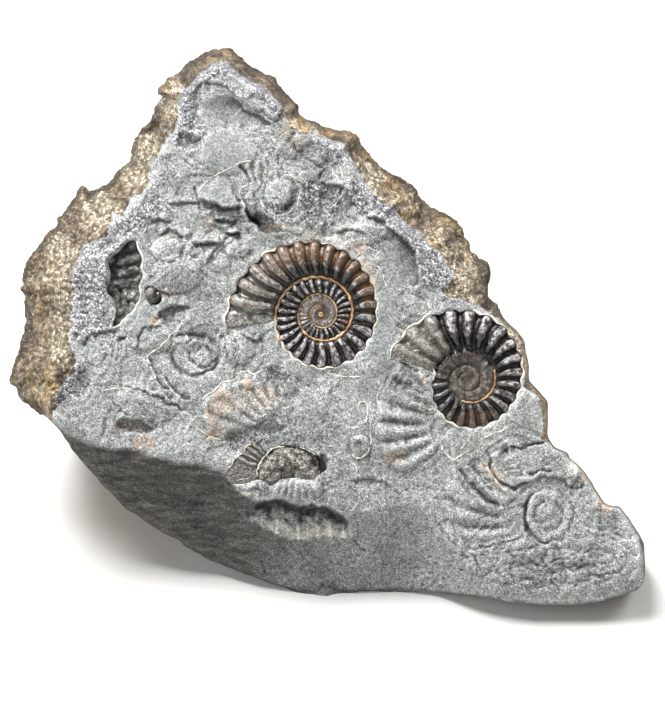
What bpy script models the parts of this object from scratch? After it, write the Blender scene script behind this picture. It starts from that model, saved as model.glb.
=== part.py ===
"""Ammonite cluster: one block of grey limestone with ribbed shells lying in its cleaned face.

Run with: blender --background --python part.py

The block stands on a flat base. Its fossil face leans back, and most sizes are easiest to give on that face:
u runs to the right, v runs up the leaning face and w runs straight out of it, all in millimetres.
Outlines are readings in picture pixels, taken square to the face, with a known number of pixels to the millimetre.
The object is in metres, with +Z up and the viewer on the -Y side.
"""

import math

import bmesh
import bpy
import numpy as np
from mathutils import Vector, noise
from mathutils.geometry import delaunay_2d_cdt

# Reading scale
PIXELS_PER_MM = 5.5
PICTURE_CENTRE = (332.5, 351.0)
READING_DISTANCE = 280.0
METRES_PER_MM = 0.001

# Middle of the block's footprint before the shift, which becomes the origin
BLOCK_MIDDLE = Vector((-0.96, 13.63, 0.0))

# Stance of the block
FACE_LEAN = math.radians(35.0)
FACE_CENTRE_HEIGHT = 43.5
BACK_DISTANCE = 46.0
BACK_OVERHANG = 0.107
BACK_ROUNDING = 19.0
BACK_ROUNDING_POWER = 2.2
BACK_LUMP = 3.0
BACK_LUMP_SIZE = 17.0
BACK_CHIP = 1.4
BACK_CHIP_SIZE = 7.0
SIDE_KNOB = 2.4
SIDE_KNOB_SIZE = 11.0
SIDE_KNOB_FADE = 8.0

# Face of the block
WALL_SLOPE = math.tan(FACE_LEAN)
FOLD_SOFTNESS = 1.2
FACE_SWELL = 0.45
FACE_SWELL_SIZE = 9.0
CRUST_LUMP = 1.1
CRUST_LUMP_SIZE = 6.5

# Fit of the shells in their beds
BED_CLEARANCE = 0.3
BED_WALL_DRAFT = 0.08
BED_FLOOR_GAP = 0.3

# Mesh density
RIM_STEP = 3.0
RIM_INSET = 1.3
FACE_STEP = 2.75
FINE_STEP = 1.35
BACK_STEP = 3.9
BASE_EDGE_STEP = 2.4
BASE_EDGE_HALVINGS = 14
CLEAR_OF_EDGES = 0.8

# Outline of the block, clockwise from the peak: x, y, depth of the edge below the face, width of the edge band.
# A depth of None follows the broken wall under the face.
WALL = None
STONE_OUTLINE = (
    (227, 47, 12, 20), (240, 57, 12, 20), (256, 69, 12, 20), (274, 78, 11, 20), (285, 92, 10, 18),
    (299, 112, 9, 16), (316, 122, 9, 16), (340, 130, 9, 18), (352, 132, 9, 20), (362, 145, 9, 24),
    (377, 163, 9, 28), (400, 178, 10, 36), (418, 192, 10, 42), (430, 206, 10, 44), (450, 216, 10, 40),
    (463, 228, 10, 38), (471, 250, 10, 34), (487, 263, 10, 30), (491, 272, 10, 28), (488, 290, 9, 24),
    (497, 304, 8, 16), (511, 325, 8, 12), (524, 341, 8, 10), (530, 380, 7, 10), (537, 389, 6, 8),
    (547, 400, 6, 8), (549, 438, 6, 8), (566, 452, 6, 8), (583, 470, 6, 8), (602, 499, 6, 8),
    (612, 506, 6, 7), (624, 512, 6, 8), (641, 537, 7, 10), (644, 560, 8, 10), (644, 580, WALL, 8),
    (634, 591, WALL, 8), (608, 599, WALL, 8), (590, 603, WALL, 8), (550, 605, WALL, 8), (530, 604, WALL, 8),
    (505, 602, WALL, 8), (485, 597, WALL, 8), (462, 594, WALL, 8), (400, 592, WALL, 8), (365, 591, WALL, 8),
    (335, 594, WALL, 8), (312, 594, WALL, 8), (285, 588, WALL, 8), (255, 577, WALL, 8), (225, 566, WALL, 8),
    (198, 553, WALL, 8), (178, 540, WALL, 8), (155, 528, WALL, 8), (135, 514, WALL, 8), (118, 500, WALL, 8),
    (103, 486, WALL, 8), (90, 470, WALL, 8), (76, 454, WALL, 8), (62, 434, WALL, 8), (47, 418, WALL, 8),
    (28, 405, 9, 26), (18, 396, 10, 34), (10, 381, 11, 44), (14, 362, 11, 48), (24, 330, 11, 50),
    (24, 296, 11, 50), (23, 274, 11, 50), (31, 254, 11, 48), (50, 231, 11, 46), (66, 210, 11, 44),
    (77, 193, 11, 42), (81, 185, 11, 42), (91, 191, 11, 42), (107, 184, 10, 40), (122, 167, 10, 36),
    (131, 150, 10, 34), (147, 125, 10, 34), (162, 96, 10, 28), (168, 78, 10, 26), (184, 66, 11, 24),
    (208, 51, 12, 20),
)

# Line where the face turns down into the broken wall, from left to right
FOLD_LINE = (
    (10, 386), (47, 418), (60, 428), (75, 436), (90, 441), (112, 447), (130, 446), (150, 452), (175, 460),
    (200, 462), (222, 468), (240, 492), (262, 500), (300, 504), (350, 512), (380, 507), (400, 503), (420, 503),
    (435, 518), (445, 535), (460, 555), (480, 572), (510, 582), (560, 590), (610, 588), (644, 575),
)

# Relief of the face: outlines and centres in pixels, heights in millimetres
RIBBED_HOLLOW = (
    (240, 511), (256, 502), (281, 496), (302, 504), (318, 503), (335, 509), (350, 522), (353, 538), (332, 541),
    (298, 544), (276, 537), (255, 524),
)
RIBBED_HOLLOW_DEPTH = 3.4
RIBBED_HOLLOW_TOP = 500
RIBBED_HOLLOW_FOOT = 543
RIBBED_HOLLOW_RIB_HEIGHT = 0.55
RIBBED_HOLLOW_RIB_WIDTH = 0.75
RIBBED_HOLLOW_RIBS = (262, 280, 291, 300, 312, 325, 340)

# Grey print of a shell: a hub, a groove round it, and ribs on its lower left
MOULD_CENTRE = (549, 514)
MOULD_RADIUS = 92
MOULD_HUB_RADIUS = 13
MOULD_HUB_HEIGHT = 0.64
MOULD_GROOVE_RADIUS = 28
MOULD_GROOVE_DEPTH = 0.56
MOULD_RIBS = 30
MOULD_RIB_HEIGHT = 0.48
MOULD_RIB_SIDE = math.radians(215.0)
MOULD_ZONE = ((470, 470), (560, 486), (600, 540), (560, 580), (480, 560), (450, 500))

RAISED_FLAKE = (
    (489, 455), (503, 446), (547, 443), (565, 451), (583, 473), (571, 487), (561, 478), (539, 477), (521, 485),
    (512, 487), (499, 481),
)
RAISED_FLAKE_HEIGHT = 1.1

TAN_FAN = (
    (202, 400), (221, 383), (247, 371), (267, 368), (286, 376), (290, 400), (262, 424), (225, 440), (202, 432),
)
TAN_FAN_HUB = (285, 442)
TAN_FAN_HEIGHT = 1.2
TAN_FAN_RIBS = 42

GREY_FAN = (
    (400, 356), (424, 352), (432, 372), (434, 392), (445, 412), (452, 440), (440, 462), (400, 465), (376, 444),
    (372, 420), (384, 382),
)
GREY_FAN_HUB = (480, 385)
GREY_FAN_HEIGHT = 1.0
GREY_FAN_RIBS = 34

UPPER_COIL_CENTRE = (280, 193)
UPPER_COIL_RADIUS = 21
UPPER_COIL_OUTER = 40
UPPER_COIL_HEIGHT = 0.9
UPPER_COIL_MOAT = 1.2

SCOOP_ARC = ((386, 225), (401, 234), (411, 247), (417, 260), (419, 273), (415, 292))
SCOOP_DEPTH = 1.4
SCOOP_WIDTH = 24

# Rounded forms: x, y, half width, half height, height over the face (negative for a hollow)
DOMES = (
    (177, 274, 25, 20, 1.3), (157, 334, 19, 17, 0.9), (166, 249, 17, 12, 0.8), (197, 357, 24, 20, -1.2),
    (296, 490, 26, 12, 1.8), (232, 112, 30, 16, -0.9), (228, 150, 26, 22, 0.7), (342, 186, 14, 22, 0.8),
    (240, 348, 13, 17, 0.8), (124, 300, 17, 45, -1.3), (360, 446, 10, 12, 0.8), (40, 386, 20, 24, 2.0),
    (137, 427, 22, 8, -0.9), (318, 205, 22, 16, -0.8), (262, 200, 13, 12, -0.9), (210, 205, 22, 12, 0.7),
    (98, 285, 14, 40, 0.7), (150, 395, 26, 12, 0.6), (425, 330, 30, 14, -0.5), (388, 350, 12, 24, -0.5),
)

# Ledges: the face stands higher on the left of each line, walking along it. Height, then the points.
LEDGES = (
    (1.4, ((271, 127), (256, 113), (239, 103), (230, 95))),
    (1.1, ((349, 480), (378, 479), (403, 495))),
    (0.9, ((221, 242), (191, 242))),
    (0.8, ((344, 197), (322, 182), (300, 184))),
)
LEDGE_FADE = 16

# Shells
SHELL_COLUMNS = (0.16, 0.42, 0.74)
SHELL_SEAM_SLOPE = 0.03
SHELL_CREST_SLOPE = 0.2
SHELL_HUB_DEPTH = 1.1
SHELL_EDGE_DEPTH = 0.55
SHELL_RIB_SHARE = 0.14
SHELL_FLOOR_DEPTH = 3.4
SHELL_EDGE_SCALLOP = 0.018

# Centre shell: radii in millimetres at each quarter turn, from the aperture inwards
CENTRE_SHELL_HUB = (321.0, 314.5)
CENTRE_SHELL_APERTURE = math.radians(188.0)
CENTRE_SHELL_RADII = (17.6, 13.5, 10.3, 9.8, 8.4, 6.9, 5.8, 4.8, 4.2, 3.75, 2.9)
CENTRE_SHELL_RIBS = 28

RIGHT_SHELL_HUB = (467.5, 380.0)
RIGHT_SHELL_APERTURE = math.radians(165.0)
RIGHT_SHELL_RADII = (14.9, 12.3, 9.6, 8.5, 6.2, 5.6, 4.9, 3.9, 3.2, 2.7, 2.3)
RIGHT_SHELL_RIBS = 22

SHELL_GROWTH_PER_TURN = 2.0
SHELL_TURNS = 2.4

# Broken lower shell: outline, hub of its ribs, and the arch of its inner whorl
LOWER_SHELL_OUTLINE = (
    (224, 477), (227, 469), (234, 460), (241, 453), (247, 446), (257, 439), (265, 450), (275, 446), (286, 444),
    (300, 446), (313, 452), (323, 459), (328, 470), (319, 475), (312, 481), (298, 478), (283, 479), (270, 482),
    (257, 480), (244, 485), (231, 484),
)
LOWER_SHELL_HUB = (287, 476)
LOWER_SHELL_INNER_RADIUS = 30
LOWER_SHELL_RIBS = 40
LOWER_SHELL_RIB_HEIGHT = 0.4
LOWER_SHELL_ARCH = 1.5
LOWER_SHELL_FLOOR = -2.8

# Broken left shell: outline, and the lines of its ribs
LEFT_SHELL_OUTLINE = (
    (136, 240), (139, 249), (142, 258), (141, 269), (143, 277), (139, 287), (139, 297), (135, 306), (129, 315),
    (119, 324), (112, 327), (117, 312), (114, 299), (106, 291), (110, 283), (111, 272), (108, 261), (118, 252),
    (128, 242),
)
LEFT_SHELL_RIB_PITCH = 13.0
LEFT_SHELL_RIB_PHASE = 264.0
LEFT_SHELL_RIB_HEIGHT = 0.45
LEFT_SHELL_SINK = 1.3
LEFT_SHELL_BREAK_START = 285.0
LEFT_SHELL_BREAK_SPAN = 30.0
LEFT_SHELL_FLOOR = -4.2

# Glossy grain of shell beside the left fragment: centre and half sizes in pixels
BEAD_CENTRE = (154, 296)
BEAD_HALF_SIZE = (8, 10)
BEAD_HEIGHT = 1.3
BEAD_SINK = 0.4
BEAD_FLOOR = -2.0
BEAD_SIDES = 12

# Mesh steps of the broken shells
BROKEN_STEP = 1.3
BEAD_STEP = 0.7


def face_point(x, y):
    """Turn a picture reading into millimetres on the face."""
    return ((x - PICTURE_CENTRE[0]) / PIXELS_PER_MM, (PICTURE_CENTRE[1] - y) / PIXELS_PER_MM)


def face_points(readings):
    """Turn a list of picture readings into an array of face points."""
    return np.array([face_point(entry[0], entry[1]) for entry in readings])


def to_world(u, v, w):
    """Place a reading of depth w: what lies nearer the viewer covers less of the face."""
    reach = (READING_DISTANCE - w) / READING_DISTANCE
    across = u * reach
    along = v * reach
    back = along * math.sin(FACE_LEAN) - w * math.cos(FACE_LEAN)
    up = along * math.cos(FACE_LEAN) + w * math.sin(FACE_LEAN) + FACE_CENTRE_HEIGHT
    return Vector((across, back, up))


def ground_depth(v):
    """Depth w at which the sight line of v meets the ground."""
    rise = math.cos(FACE_LEAN) * v
    return -(FACE_CENTRE_HEIGHT + rise) / (math.sin(FACE_LEAN) - rise / READING_DISTANCE)


def back_depth(v):
    """Depth w at which the sight line of v meets the plane of the block's back."""
    sine = math.sin(FACE_LEAN)
    cosine = math.cos(FACE_LEAN)
    fall = cosine + BACK_OVERHANG * sine
    gain = (sine - BACK_OVERHANG * cosine) / fall
    offset = (BACK_DISTANCE + BACK_OVERHANG * FACE_CENTRE_HEIGHT) / fall
    return (gain * v - offset) / (1.0 + gain * v / READING_DISTANCE)


def lumps(points, size, seed):
    """Smooth noise between -1 and 1 with lumps of the given size."""
    values = [noise.noise(Vector((p[0] / size, p[1] / size, seed))) for p in points]
    return np.array(values)


def to_path(points, path, closed=False):
    """Nearest place on a path: distance, segment number, share of the segment, and side (+1 left)."""
    start = path if closed else path[:-1]
    end = np.roll(path, -1, axis=0) if closed else path[1:]
    along = end - start
    length = np.maximum((along ** 2).sum(axis=1), 1e-9)
    offset = points[:, None, :] - start[None, :, :]
    share = np.clip((offset * along[None]).sum(axis=2) / length[None], 0.0, 1.0)
    gap = offset - share[:, :, None] * along[None]
    distance = np.sqrt((gap ** 2).sum(axis=2))
    nearest = distance.argmin(axis=1)
    row = np.arange(len(points))
    cross = along[nearest, 0] * offset[row, nearest, 1] - along[nearest, 1] * offset[row, nearest, 0]
    return distance[row, nearest], nearest, share[row, nearest], np.where(cross >= 0.0, 1.0, -1.0)


def inside(points, loop):
    """Which points lie inside a closed loop."""
    start = loop
    end = np.roll(loop, -1, axis=0)
    spans = (start[None, :, 1] > points[:, None, 1]) != (end[None, :, 1] > points[:, None, 1])
    drop = np.where(np.abs(end[:, 1] - start[:, 1]) < 1e-9, 1e-9, end[:, 1] - start[:, 1])
    crossing = start[:, 0] + (points[:, None, 1] - start[:, 1]) * (end[:, 0] - start[:, 0]) / drop
    return (spans & (points[:, None, 0] < crossing)).sum(axis=1) % 2 == 1


def smooth(value):
    """Ease from 0 to 1."""
    value = np.clip(value, 0.0, 1.0)
    return value * value * (3.0 - 2.0 * value)


def depth_inside(points, readings, margin):
    """How far inside an outline the points lie, as 0 at its edge to 1 at a margin in millimetres."""
    loop = face_points(readings)
    distance = to_path(points, loop, closed=True)[0]
    return np.where(inside(points, loop), smooth(distance / margin), 0.0)


def polar(points, centre):
    """Radius and angle of points about a centre given as a picture reading."""
    offset = points - np.array(face_point(*centre))
    return np.hypot(offset[:, 0], offset[:, 1]), np.arctan2(offset[:, 1], offset[:, 0])


def wall_drop(points):
    """Depth of the broken wall below the fold line, zero above it."""
    line = face_points(FOLD_LINE)
    fold_height = np.interp(points[:, 0], line[:, 0], line[:, 1])
    below = (fold_height - points[:, 1]) / FOLD_SOFTNESS
    return WALL_SLOPE * FOLD_SOFTNESS * np.log1p(np.exp(np.clip(below, -30.0, 30.0)))


def edge_band(points):
    """Depth of the block's edge nearest to each point, and its share there: 1 at the edge, 0 past the band."""
    loop = face_points(STONE_OUTLINE)
    walls = -wall_drop(loop) - 1.0
    edge = np.array([wall if entry[2] is WALL else -entry[2] for entry, wall in zip(STONE_OUTLINE, walls)])
    edge = np.maximum(edge, ground_depth(loop[:, 1]))
    band = np.array([entry[3] / PIXELS_PER_MM for entry in STONE_OUTLINE])
    distance, segment, share, _ = to_path(points, loop, closed=True)
    following = (segment + 1) % len(loop)
    depth = edge[segment] * (1.0 - share) + edge[following] * share
    width = band[segment] * (1.0 - share) + band[following] * share
    return np.maximum(depth, ground_depth(points[:, 1])), distance, width


def ribbed_hollow(points):
    """Hollow left by a lost shell in the wall, deepest under its upper lip, with upright ribs."""
    deep = depth_inside(points, RIBBED_HOLLOW, 2.2)
    low = face_point(0, RIBBED_HOLLOW_FOOT)[1]
    high = face_point(0, RIBBED_HOLLOW_TOP)[1]
    rise = np.clip((points[:, 1] - low) / (high - low), 0.0, 1.0)
    ribs = np.zeros(len(points))
    for x in RIBBED_HOLLOW_RIBS:
        aside = (points[:, 0] - face_point(x, 0)[0]) / RIBBED_HOLLOW_RIB_WIDTH
        ribs += RIBBED_HOLLOW_RIB_HEIGHT * np.exp(-aside ** 2)
    return deep * (ribs - RIBBED_HOLLOW_DEPTH * (0.35 + 0.65 * rise))


def radial_ribs(points, hub, count):
    """Ribs that fan out from a hub, between -1 and 1."""
    _, angle = polar(points, hub)
    return np.cos(angle * count)


def mould(points):
    """Grey print of a shell on the lower right: a hub, a groove round it and ribs that fan to its edge."""
    radius, angle = polar(points, MOULD_CENTRE)
    outer = MOULD_RADIUS / PIXELS_PER_MM
    hub = MOULD_HUB_RADIUS / PIXELS_PER_MM
    groove = MOULD_GROOVE_RADIUS / PIXELS_PER_MM
    lift = MOULD_HUB_HEIGHT * np.exp(-((radius - hub) / 0.7) ** 2)
    sunk = MOULD_GROOVE_DEPTH * np.exp(-((radius - groove) / 1.1) ** 2)
    facing = smooth((np.cos(angle - MOULD_RIB_SIDE) + 0.35) / 0.6)
    ring = smooth((radius - groove) / 1.5) * smooth((outer - radius) / 3.0)
    return lift - sunk + MOULD_RIB_HEIGHT * facing * ring * np.cos(angle * MOULD_RIBS)


def upper_coil(points):
    """Half-buried coil near the top: a raised round hub in a sunken ring."""
    radius, angle = polar(points, UPPER_COIL_CENTRE)
    inner = UPPER_COIL_RADIUS / PIXELS_PER_MM
    outer = UPPER_COIL_OUTER / PIXELS_PER_MM
    hub = UPPER_COIL_HEIGHT * smooth((inner - radius) / 1.2)
    below = smooth((0.4 - np.sin(angle)) / 0.8)
    moat = -UPPER_COIL_MOAT * below * np.exp(-((radius - 0.5 * (inner + outer)) / 1.6) ** 2)
    return hub + moat


def scoop(points):
    """Smooth scoop on the upper right, with a steep side along its arc."""
    distance, _, _, side = to_path(points, face_points(SCOOP_ARC))
    width = SCOOP_WIDTH / PIXELS_PER_MM
    within = (side < 0.0) * np.clip(1.0 - distance / width, 0.0, 1.0)
    return -SCOOP_DEPTH * within ** 1.5


def domes(points):
    """Low rounded forms and hollows."""
    total = np.zeros(len(points))
    for x, y, half_width, half_height, height in DOMES:
        centre = face_point(x, y)
        across = (points[:, 0] - centre[0]) * PIXELS_PER_MM / half_width
        up = (points[:, 1] - centre[1]) * PIXELS_PER_MM / half_height
        total += height * np.clip(1.0 - across ** 2 - up ** 2, 0.0, 1.0) ** 0.7
    return total


def ledges(points):
    """Broken ledges: a step along each line that fades out on its high side."""
    total = np.zeros(len(points))
    fade = LEDGE_FADE / PIXELS_PER_MM
    for height, line in LEDGES:
        distance, _, _, side = to_path(points, face_points(line))
        total += np.where(side > 0.0, height * np.clip(1.0 - distance / fade, 0.0, 1.0), 0.0)
    return total


def fan(points, outline, hub, height, count):
    """Raised patch of ribs that fan out from a hub."""
    share = depth_inside(points, outline, 1.8)
    return share * height * (0.5 + 0.5 * radial_ribs(points, hub, count))


def face_depth(points):
    """Height w of the whole front of the block at the given face points."""
    points = np.asarray(points, dtype=float)
    relief = FACE_SWELL * lumps(points, FACE_SWELL_SIZE, 3.1) - wall_drop(points)
    relief = relief + ribbed_hollow(points) + mould(points) + upper_coil(points) + scoop(points)
    relief = relief + domes(points) + ledges(points)
    relief = relief + RAISED_FLAKE_HEIGHT * depth_inside(points, RAISED_FLAKE, 0.8)
    relief = relief + fan(points, TAN_FAN, TAN_FAN_HUB, TAN_FAN_HEIGHT, TAN_FAN_RIBS)
    relief = relief + fan(points, GREY_FAN, GREY_FAN_HUB, GREY_FAN_HEIGHT, GREY_FAN_RIBS)
    edge, distance, width = edge_band(points)
    share = smooth(distance / width) ** 0.8
    crust = np.clip(1.0 - distance / (1.3 * width), 0.0, 1.0) * np.clip(distance / 2.0, 0.0, 1.0)
    rough = crust * np.clip(width / 5.0, 0.0, 1.0) * CRUST_LUMP * lumps(points, CRUST_LUMP_SIZE, 8.7)
    return np.maximum(edge + (relief - edge) * share + rough, edge)


def above_ground(points):
    """How far the rounded back lies in front of the ground along each sight line, negative below the ground."""
    edge, distance, _ = edge_band(points)
    turn = 1.0 - np.clip(1.0 - distance / BACK_ROUNDING, 0.0, 1.0) ** BACK_ROUNDING_POWER
    swell = BACK_LUMP * lumps(points, BACK_LUMP_SIZE, 21.3) + BACK_CHIP * lumps(points, BACK_CHIP_SIZE, 5.9)
    deep = back_depth(points[:, 1]) + swell * turn
    return edge + (deep - edge) * turn - ground_depth(points[:, 1])


def rear_depth(points):
    """Depth w of the back of the block: it rounds in from the edge, runs down the back and ends on the ground."""
    return ground_depth(points[:, 1]) + np.maximum(above_ground(points), 0.0)


def knobbly(place, edge_distance):
    """Shift a place on the back by smooth noise in space, fading out at the block's edge and at the ground."""
    fade = min(edge_distance, max(place.z, 0.0), SIDE_KNOB_FADE) / SIDE_KNOB_FADE
    return place + noise.noise_vector(place / SIDE_KNOB_SIZE) * SIDE_KNOB * fade


def base_edge(points, triangles):
    """Points on the line where the rounded back meets the flat base, found along the edges of a first mesh."""
    pairs = {tuple(sorted(pair)) for t in triangles for pair in zip(t, t[1:] + t[:1])}
    height = above_ground(points)
    cut = [pair for pair in sorted(pairs) if (height[pair[0]] > 0.0) != (height[pair[1]] > 0.0)]
    above = np.array([points[a if height[a] > 0.0 else b] for a, b in cut])
    below = np.array([points[b if height[a] > 0.0 else a] for a, b in cut])
    for _ in range(BASE_EDGE_HALVINGS):
        middle = 0.5 * (above + below)
        over = (above_ground(middle) > 0.0)[:, None]
        above = np.where(over, middle, above)
        below = np.where(over, below, middle)
    kept = []
    for point in below:
        if all(np.hypot(*(point - other)) > BASE_EDGE_STEP for other in kept):
            kept.append(point)
    return np.array(kept)


def offset_loop(loop, distance):
    """Grow a counter-clockwise loop outwards by a distance."""
    before = loop - np.roll(loop, 1, axis=0)
    after = np.roll(loop, -1, axis=0) - loop
    before /= np.linalg.norm(before, axis=1)[:, None]
    after /= np.linalg.norm(after, axis=1)[:, None]
    bisector = before + after
    normal = np.stack([bisector[:, 1], -bisector[:, 0]], axis=1)
    normal /= np.maximum(np.linalg.norm(normal, axis=1), 1e-9)[:, None]
    side = np.stack([after[:, 1], -after[:, 0]], axis=1)
    reach = np.clip((normal * side).sum(axis=1), 0.6, 1.0)
    return loop + normal * (distance / reach)[:, None]


def counter_clockwise(loop):
    """Return the loop in counter-clockwise order."""
    following = np.roll(loop, -1, axis=0)
    area = (loop[:, 0] * following[:, 1] - following[:, 0] * loop[:, 1]).sum()
    return loop if area > 0.0 else loop[::-1].copy()


def resample(loop, step):
    """Points along a closed loop, about one step apart, keeping its corners."""
    result = []
    for start, end in zip(loop, np.roll(loop, -1, axis=0)):
        count = max(1, round(float(np.linalg.norm(end - start)) / step))
        result += [start + (end - start) * i / count for i in range(count)]
    return np.array(result)


def triangle_grid(low, high, step):
    """Points of a triangular grid over a box."""
    rows = np.arange(low[1], high[1], step * 0.866)
    points = []
    for number, v in enumerate(rows):
        shift = 0.5 * step * (number % 2)
        points += [(u + shift, v) for u in np.arange(low[0], high[0], step)]
    return np.array(points)


def clear_of(points, loops, gap):
    """Keep only the points that stand clear of some closed loops."""
    for loop in loops:
        points = points[to_path(points, loop, closed=True)[0] > gap]
    return points


def triangulate(loops, loose):
    """Triangulate closed loops and loose points. Returns the points, their source numbers and the triangles."""
    points = [Vector(p) for loop in loops for p in loop]
    edges = []
    first = 0
    for loop in loops:
        count = len(loop)
        edges += [(first + i, first + (i + 1) % count) for i in range(count)]
        first += count
    points += [Vector(p) for p in loose]
    found, _, triangles, sources, _, _ = delaunay_2d_cdt(points, edges, [], 1, 1e-6)
    return np.array([tuple(p) for p in found]), [s[0] for s in sources], triangles


def principled(name, colour, roughness, metallic=0.0):
    """Plain material with one colour."""
    material = bpy.data.materials.new(name)
    material.use_nodes = True
    shader = material.node_tree.nodes["Principled BSDF"]
    shader.inputs["Base Color"].default_value = (*colour, 1.0)
    shader.inputs["Roughness"].default_value = roughness
    shader.inputs["Metallic"].default_value = metallic
    return material


def make_object(name, places, faces, material):
    """Build a closed mesh object from places in millimetres, shifted so that the origin is under the block."""
    mesh = bpy.data.meshes.new(name)
    metres = [(Vector(p) - BLOCK_MIDDLE) * METRES_PER_MM for p in places]
    mesh.from_pydata(metres, [], faces)
    body = bmesh.new()
    body.from_mesh(mesh)
    bmesh.ops.triangulate(body, faces=body.faces)
    bmesh.ops.recalc_face_normals(body, faces=body.faces)
    body.to_mesh(mesh)
    body.free()
    mesh.materials.append(material)
    mesh.shade_smooth()
    mesh.set_sharp_from_angle(angle=math.radians(40.0))
    item = bpy.data.objects.new(name, mesh)
    bpy.context.scene.collection.objects.link(item)
    return item


def spiral_radius(radii, turn):
    """Radius of a shell's outer edge a number of turns in from its aperture."""
    keys = np.log(np.array(radii))
    place = turn * 4.0
    last = len(radii) - 1
    if place >= last:
        return float(np.exp(keys[-1] - math.log(SHELL_GROWTH_PER_TURN) * (turn - last / 4.0)))
    index = int(place)
    share = place - index
    a = keys[max(index - 1, 0)]
    b = keys[index]
    c = keys[index + 1]
    d = keys[min(index + 2, last)]
    curve = b + 0.5 * share * (c - a + share * (2 * a - 5 * b + 4 * c - d + share * (3 * (b - c) + d - a)))
    return float(np.exp(curve))


def shell_grid(hub, aperture, radii, ribs):
    """Rows of the coiled top of a shell: the edge, then the columns in to the edge one turn further in."""
    per_turn = 2 * ribs
    rows = int(SHELL_TURNS * per_turn)
    centre = np.array(face_point(*hub))

    def place(angle, radius):
        return centre + radius * np.array([math.cos(angle), math.sin(angle)])

    edge = []
    columns = []
    for row in range(rows + per_turn + 1):
        angle = aperture - 2.0 * math.pi * row / per_turn
        radius = spiral_radius(radii, row / per_turn)
        crest = 1.0 if row % 2 == 0 else -1.0
        scallop = 1.0 + SHELL_EDGE_SCALLOP * crest * (row < per_turn)
        depth = SHELL_SEAM_SLOPE * radius - SHELL_HUB_DEPTH if row >= per_turn else -SHELL_EDGE_DEPTH
        edge.append((*place(angle, radius * scallop), depth))
        if row > rows:
            continue
        inner = spiral_radius(radii, row / per_turn + 1.0)
        middle = 0.5 * (radius + inner)
        height = SHELL_CREST_SLOPE * middle - SHELL_HUB_DEPTH
        inner_seam = SHELL_SEAM_SLOPE * inner - SHELL_HUB_DEPTH
        line = []
        for share in SHELL_COLUMNS:
            arch = (1.0 - abs(2.0 * share - 1.0) ** 2.4) ** (1.0 / 2.4)
            seam = inner_seam * (1.0 - share) + depth * share
            rib = crest * SHELL_RIB_SHARE * (radius - inner) * 0.5
            lean = 0.5 * math.pi / per_turn * (share - 0.4)
            spot = place(angle + lean, inner + (radius - inner) * share)
            line.append((*spot, seam + (height - seam) * arch + rib))
        columns.append(line)
    return edge, columns, per_turn, centre


def shell_outline(edge, columns, per_turn):
    """Closed outline of a shell: its outer edge for one turn, then back along the aperture."""
    outer = [p[:2] for p in edge[:per_turn + 1]]
    aperture = [p[:2] for p in columns[0]]
    return counter_clockwise(np.array(outer + aperture))


def coiled_shell(name, grid, material):
    """Closed solid of a coiled shell: ribbed top, upright sides and a flat bed."""
    edge, columns, per_turn, centre = grid
    places = [to_world(*p) for p in edge]
    first_column = len(places)
    width = len(SHELL_COLUMNS)
    for line in columns:
        places += [to_world(*p) for p in line]
    faces = []

    def strip(row):
        middle = [first_column + row * width + i for i in range(width)]
        return [row + per_turn, *middle, row]

    for row in range(len(columns) - 1):
        near = strip(row)
        far = strip(row + 1)
        faces += [(near[i], near[i + 1], far[i + 1], far[i]) for i in range(width + 1)]
    last = len(columns) - 1
    eye = len(places)
    places.append(to_world(centre[0], centre[1], -SHELL_HUB_DEPTH + 0.15))
    inner_ring = list(range(last, last + per_turn + 1))
    end_strip = strip(last)
    middle_of_end = end_strip[1:-1]
    inner_ring += middle_of_end
    faces += [(inner_ring[i], inner_ring[(i + 1) % len(inner_ring)], eye) for i in range(len(inner_ring))]
    rim = list(range(per_turn + 1)) + [first_column + i for i in range(width)]
    below = len(places)
    tops = edge[:per_turn + 1] + columns[0]
    places += [to_world(p[0], p[1], -SHELL_FLOOR_DEPTH) for p in tops]
    count = len(rim)
    faces += [(rim[i], rim[(i + 1) % count], below + (i + 1) % count, below + i) for i in range(count)]
    middle = len(places)
    places.append(to_world(centre[0], centre[1], -SHELL_FLOOR_DEPTH))
    faces += [(below + i, below + (i + 1) % count, middle) for i in range(count)]
    return make_object(name, places, faces, material)


def relief_solid(name, outline, step, height, floor, material):
    """Closed solid with a shaped top over an outline and a flat bed below."""
    loop = resample(outline, step)
    loose = clear_of(triangle_grid(loop.min(axis=0), loop.max(axis=0), step), [loop], 0.5 * step)
    loose = loose[inside(loose, loop)]
    points, _, triangles = triangulate([loop], loose)
    count = len(points)
    tops = height(points)
    places = [to_world(p[0], p[1], w) for p, w in zip(points, tops)]
    places += [to_world(p[0], p[1], floor) for p in points]
    faces = [tuple(t) for t in triangles]
    border = {}
    for triangle in faces:
        for a, b in zip(triangle, triangle[1:] + triangle[:1]):
            border[(a, b)] = (b, a) not in border
            if not border[(a, b)]:
                border[(b, a)] = False
    sides = [(b, a, a + count, b + count) for (a, b), open_side in border.items() if open_side]
    faces += [tuple(i + count for i in reversed(t)) for t in triangles]
    return make_object(name, places, faces + sides, material)


def lower_shell_height(points):
    """Top of the broken lower shell: a fan of ribs on the left and the arch of the inner whorl."""
    radius, angle = polar(points, LOWER_SHELL_HUB)
    inner = LOWER_SHELL_INNER_RADIUS / PIXELS_PER_MM
    ribs = LOWER_SHELL_RIB_HEIGHT * np.cos(angle * LOWER_SHELL_RIBS)
    outer_whorl = 0.5 + ribs - 1.0 * smooth((inner + 1.2 - radius) / 1.2)
    arch = LOWER_SHELL_ARCH * np.clip(1.0 - ((radius - 0.6 * inner) / (0.42 * inner)) ** 2, 0.0, 1.0)
    inner_whorl = -0.4 + arch + 0.35 * lumps(points, 2.2, 4.4)
    return np.where(radius > inner, outer_whorl, inner_whorl) - 0.4


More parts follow.
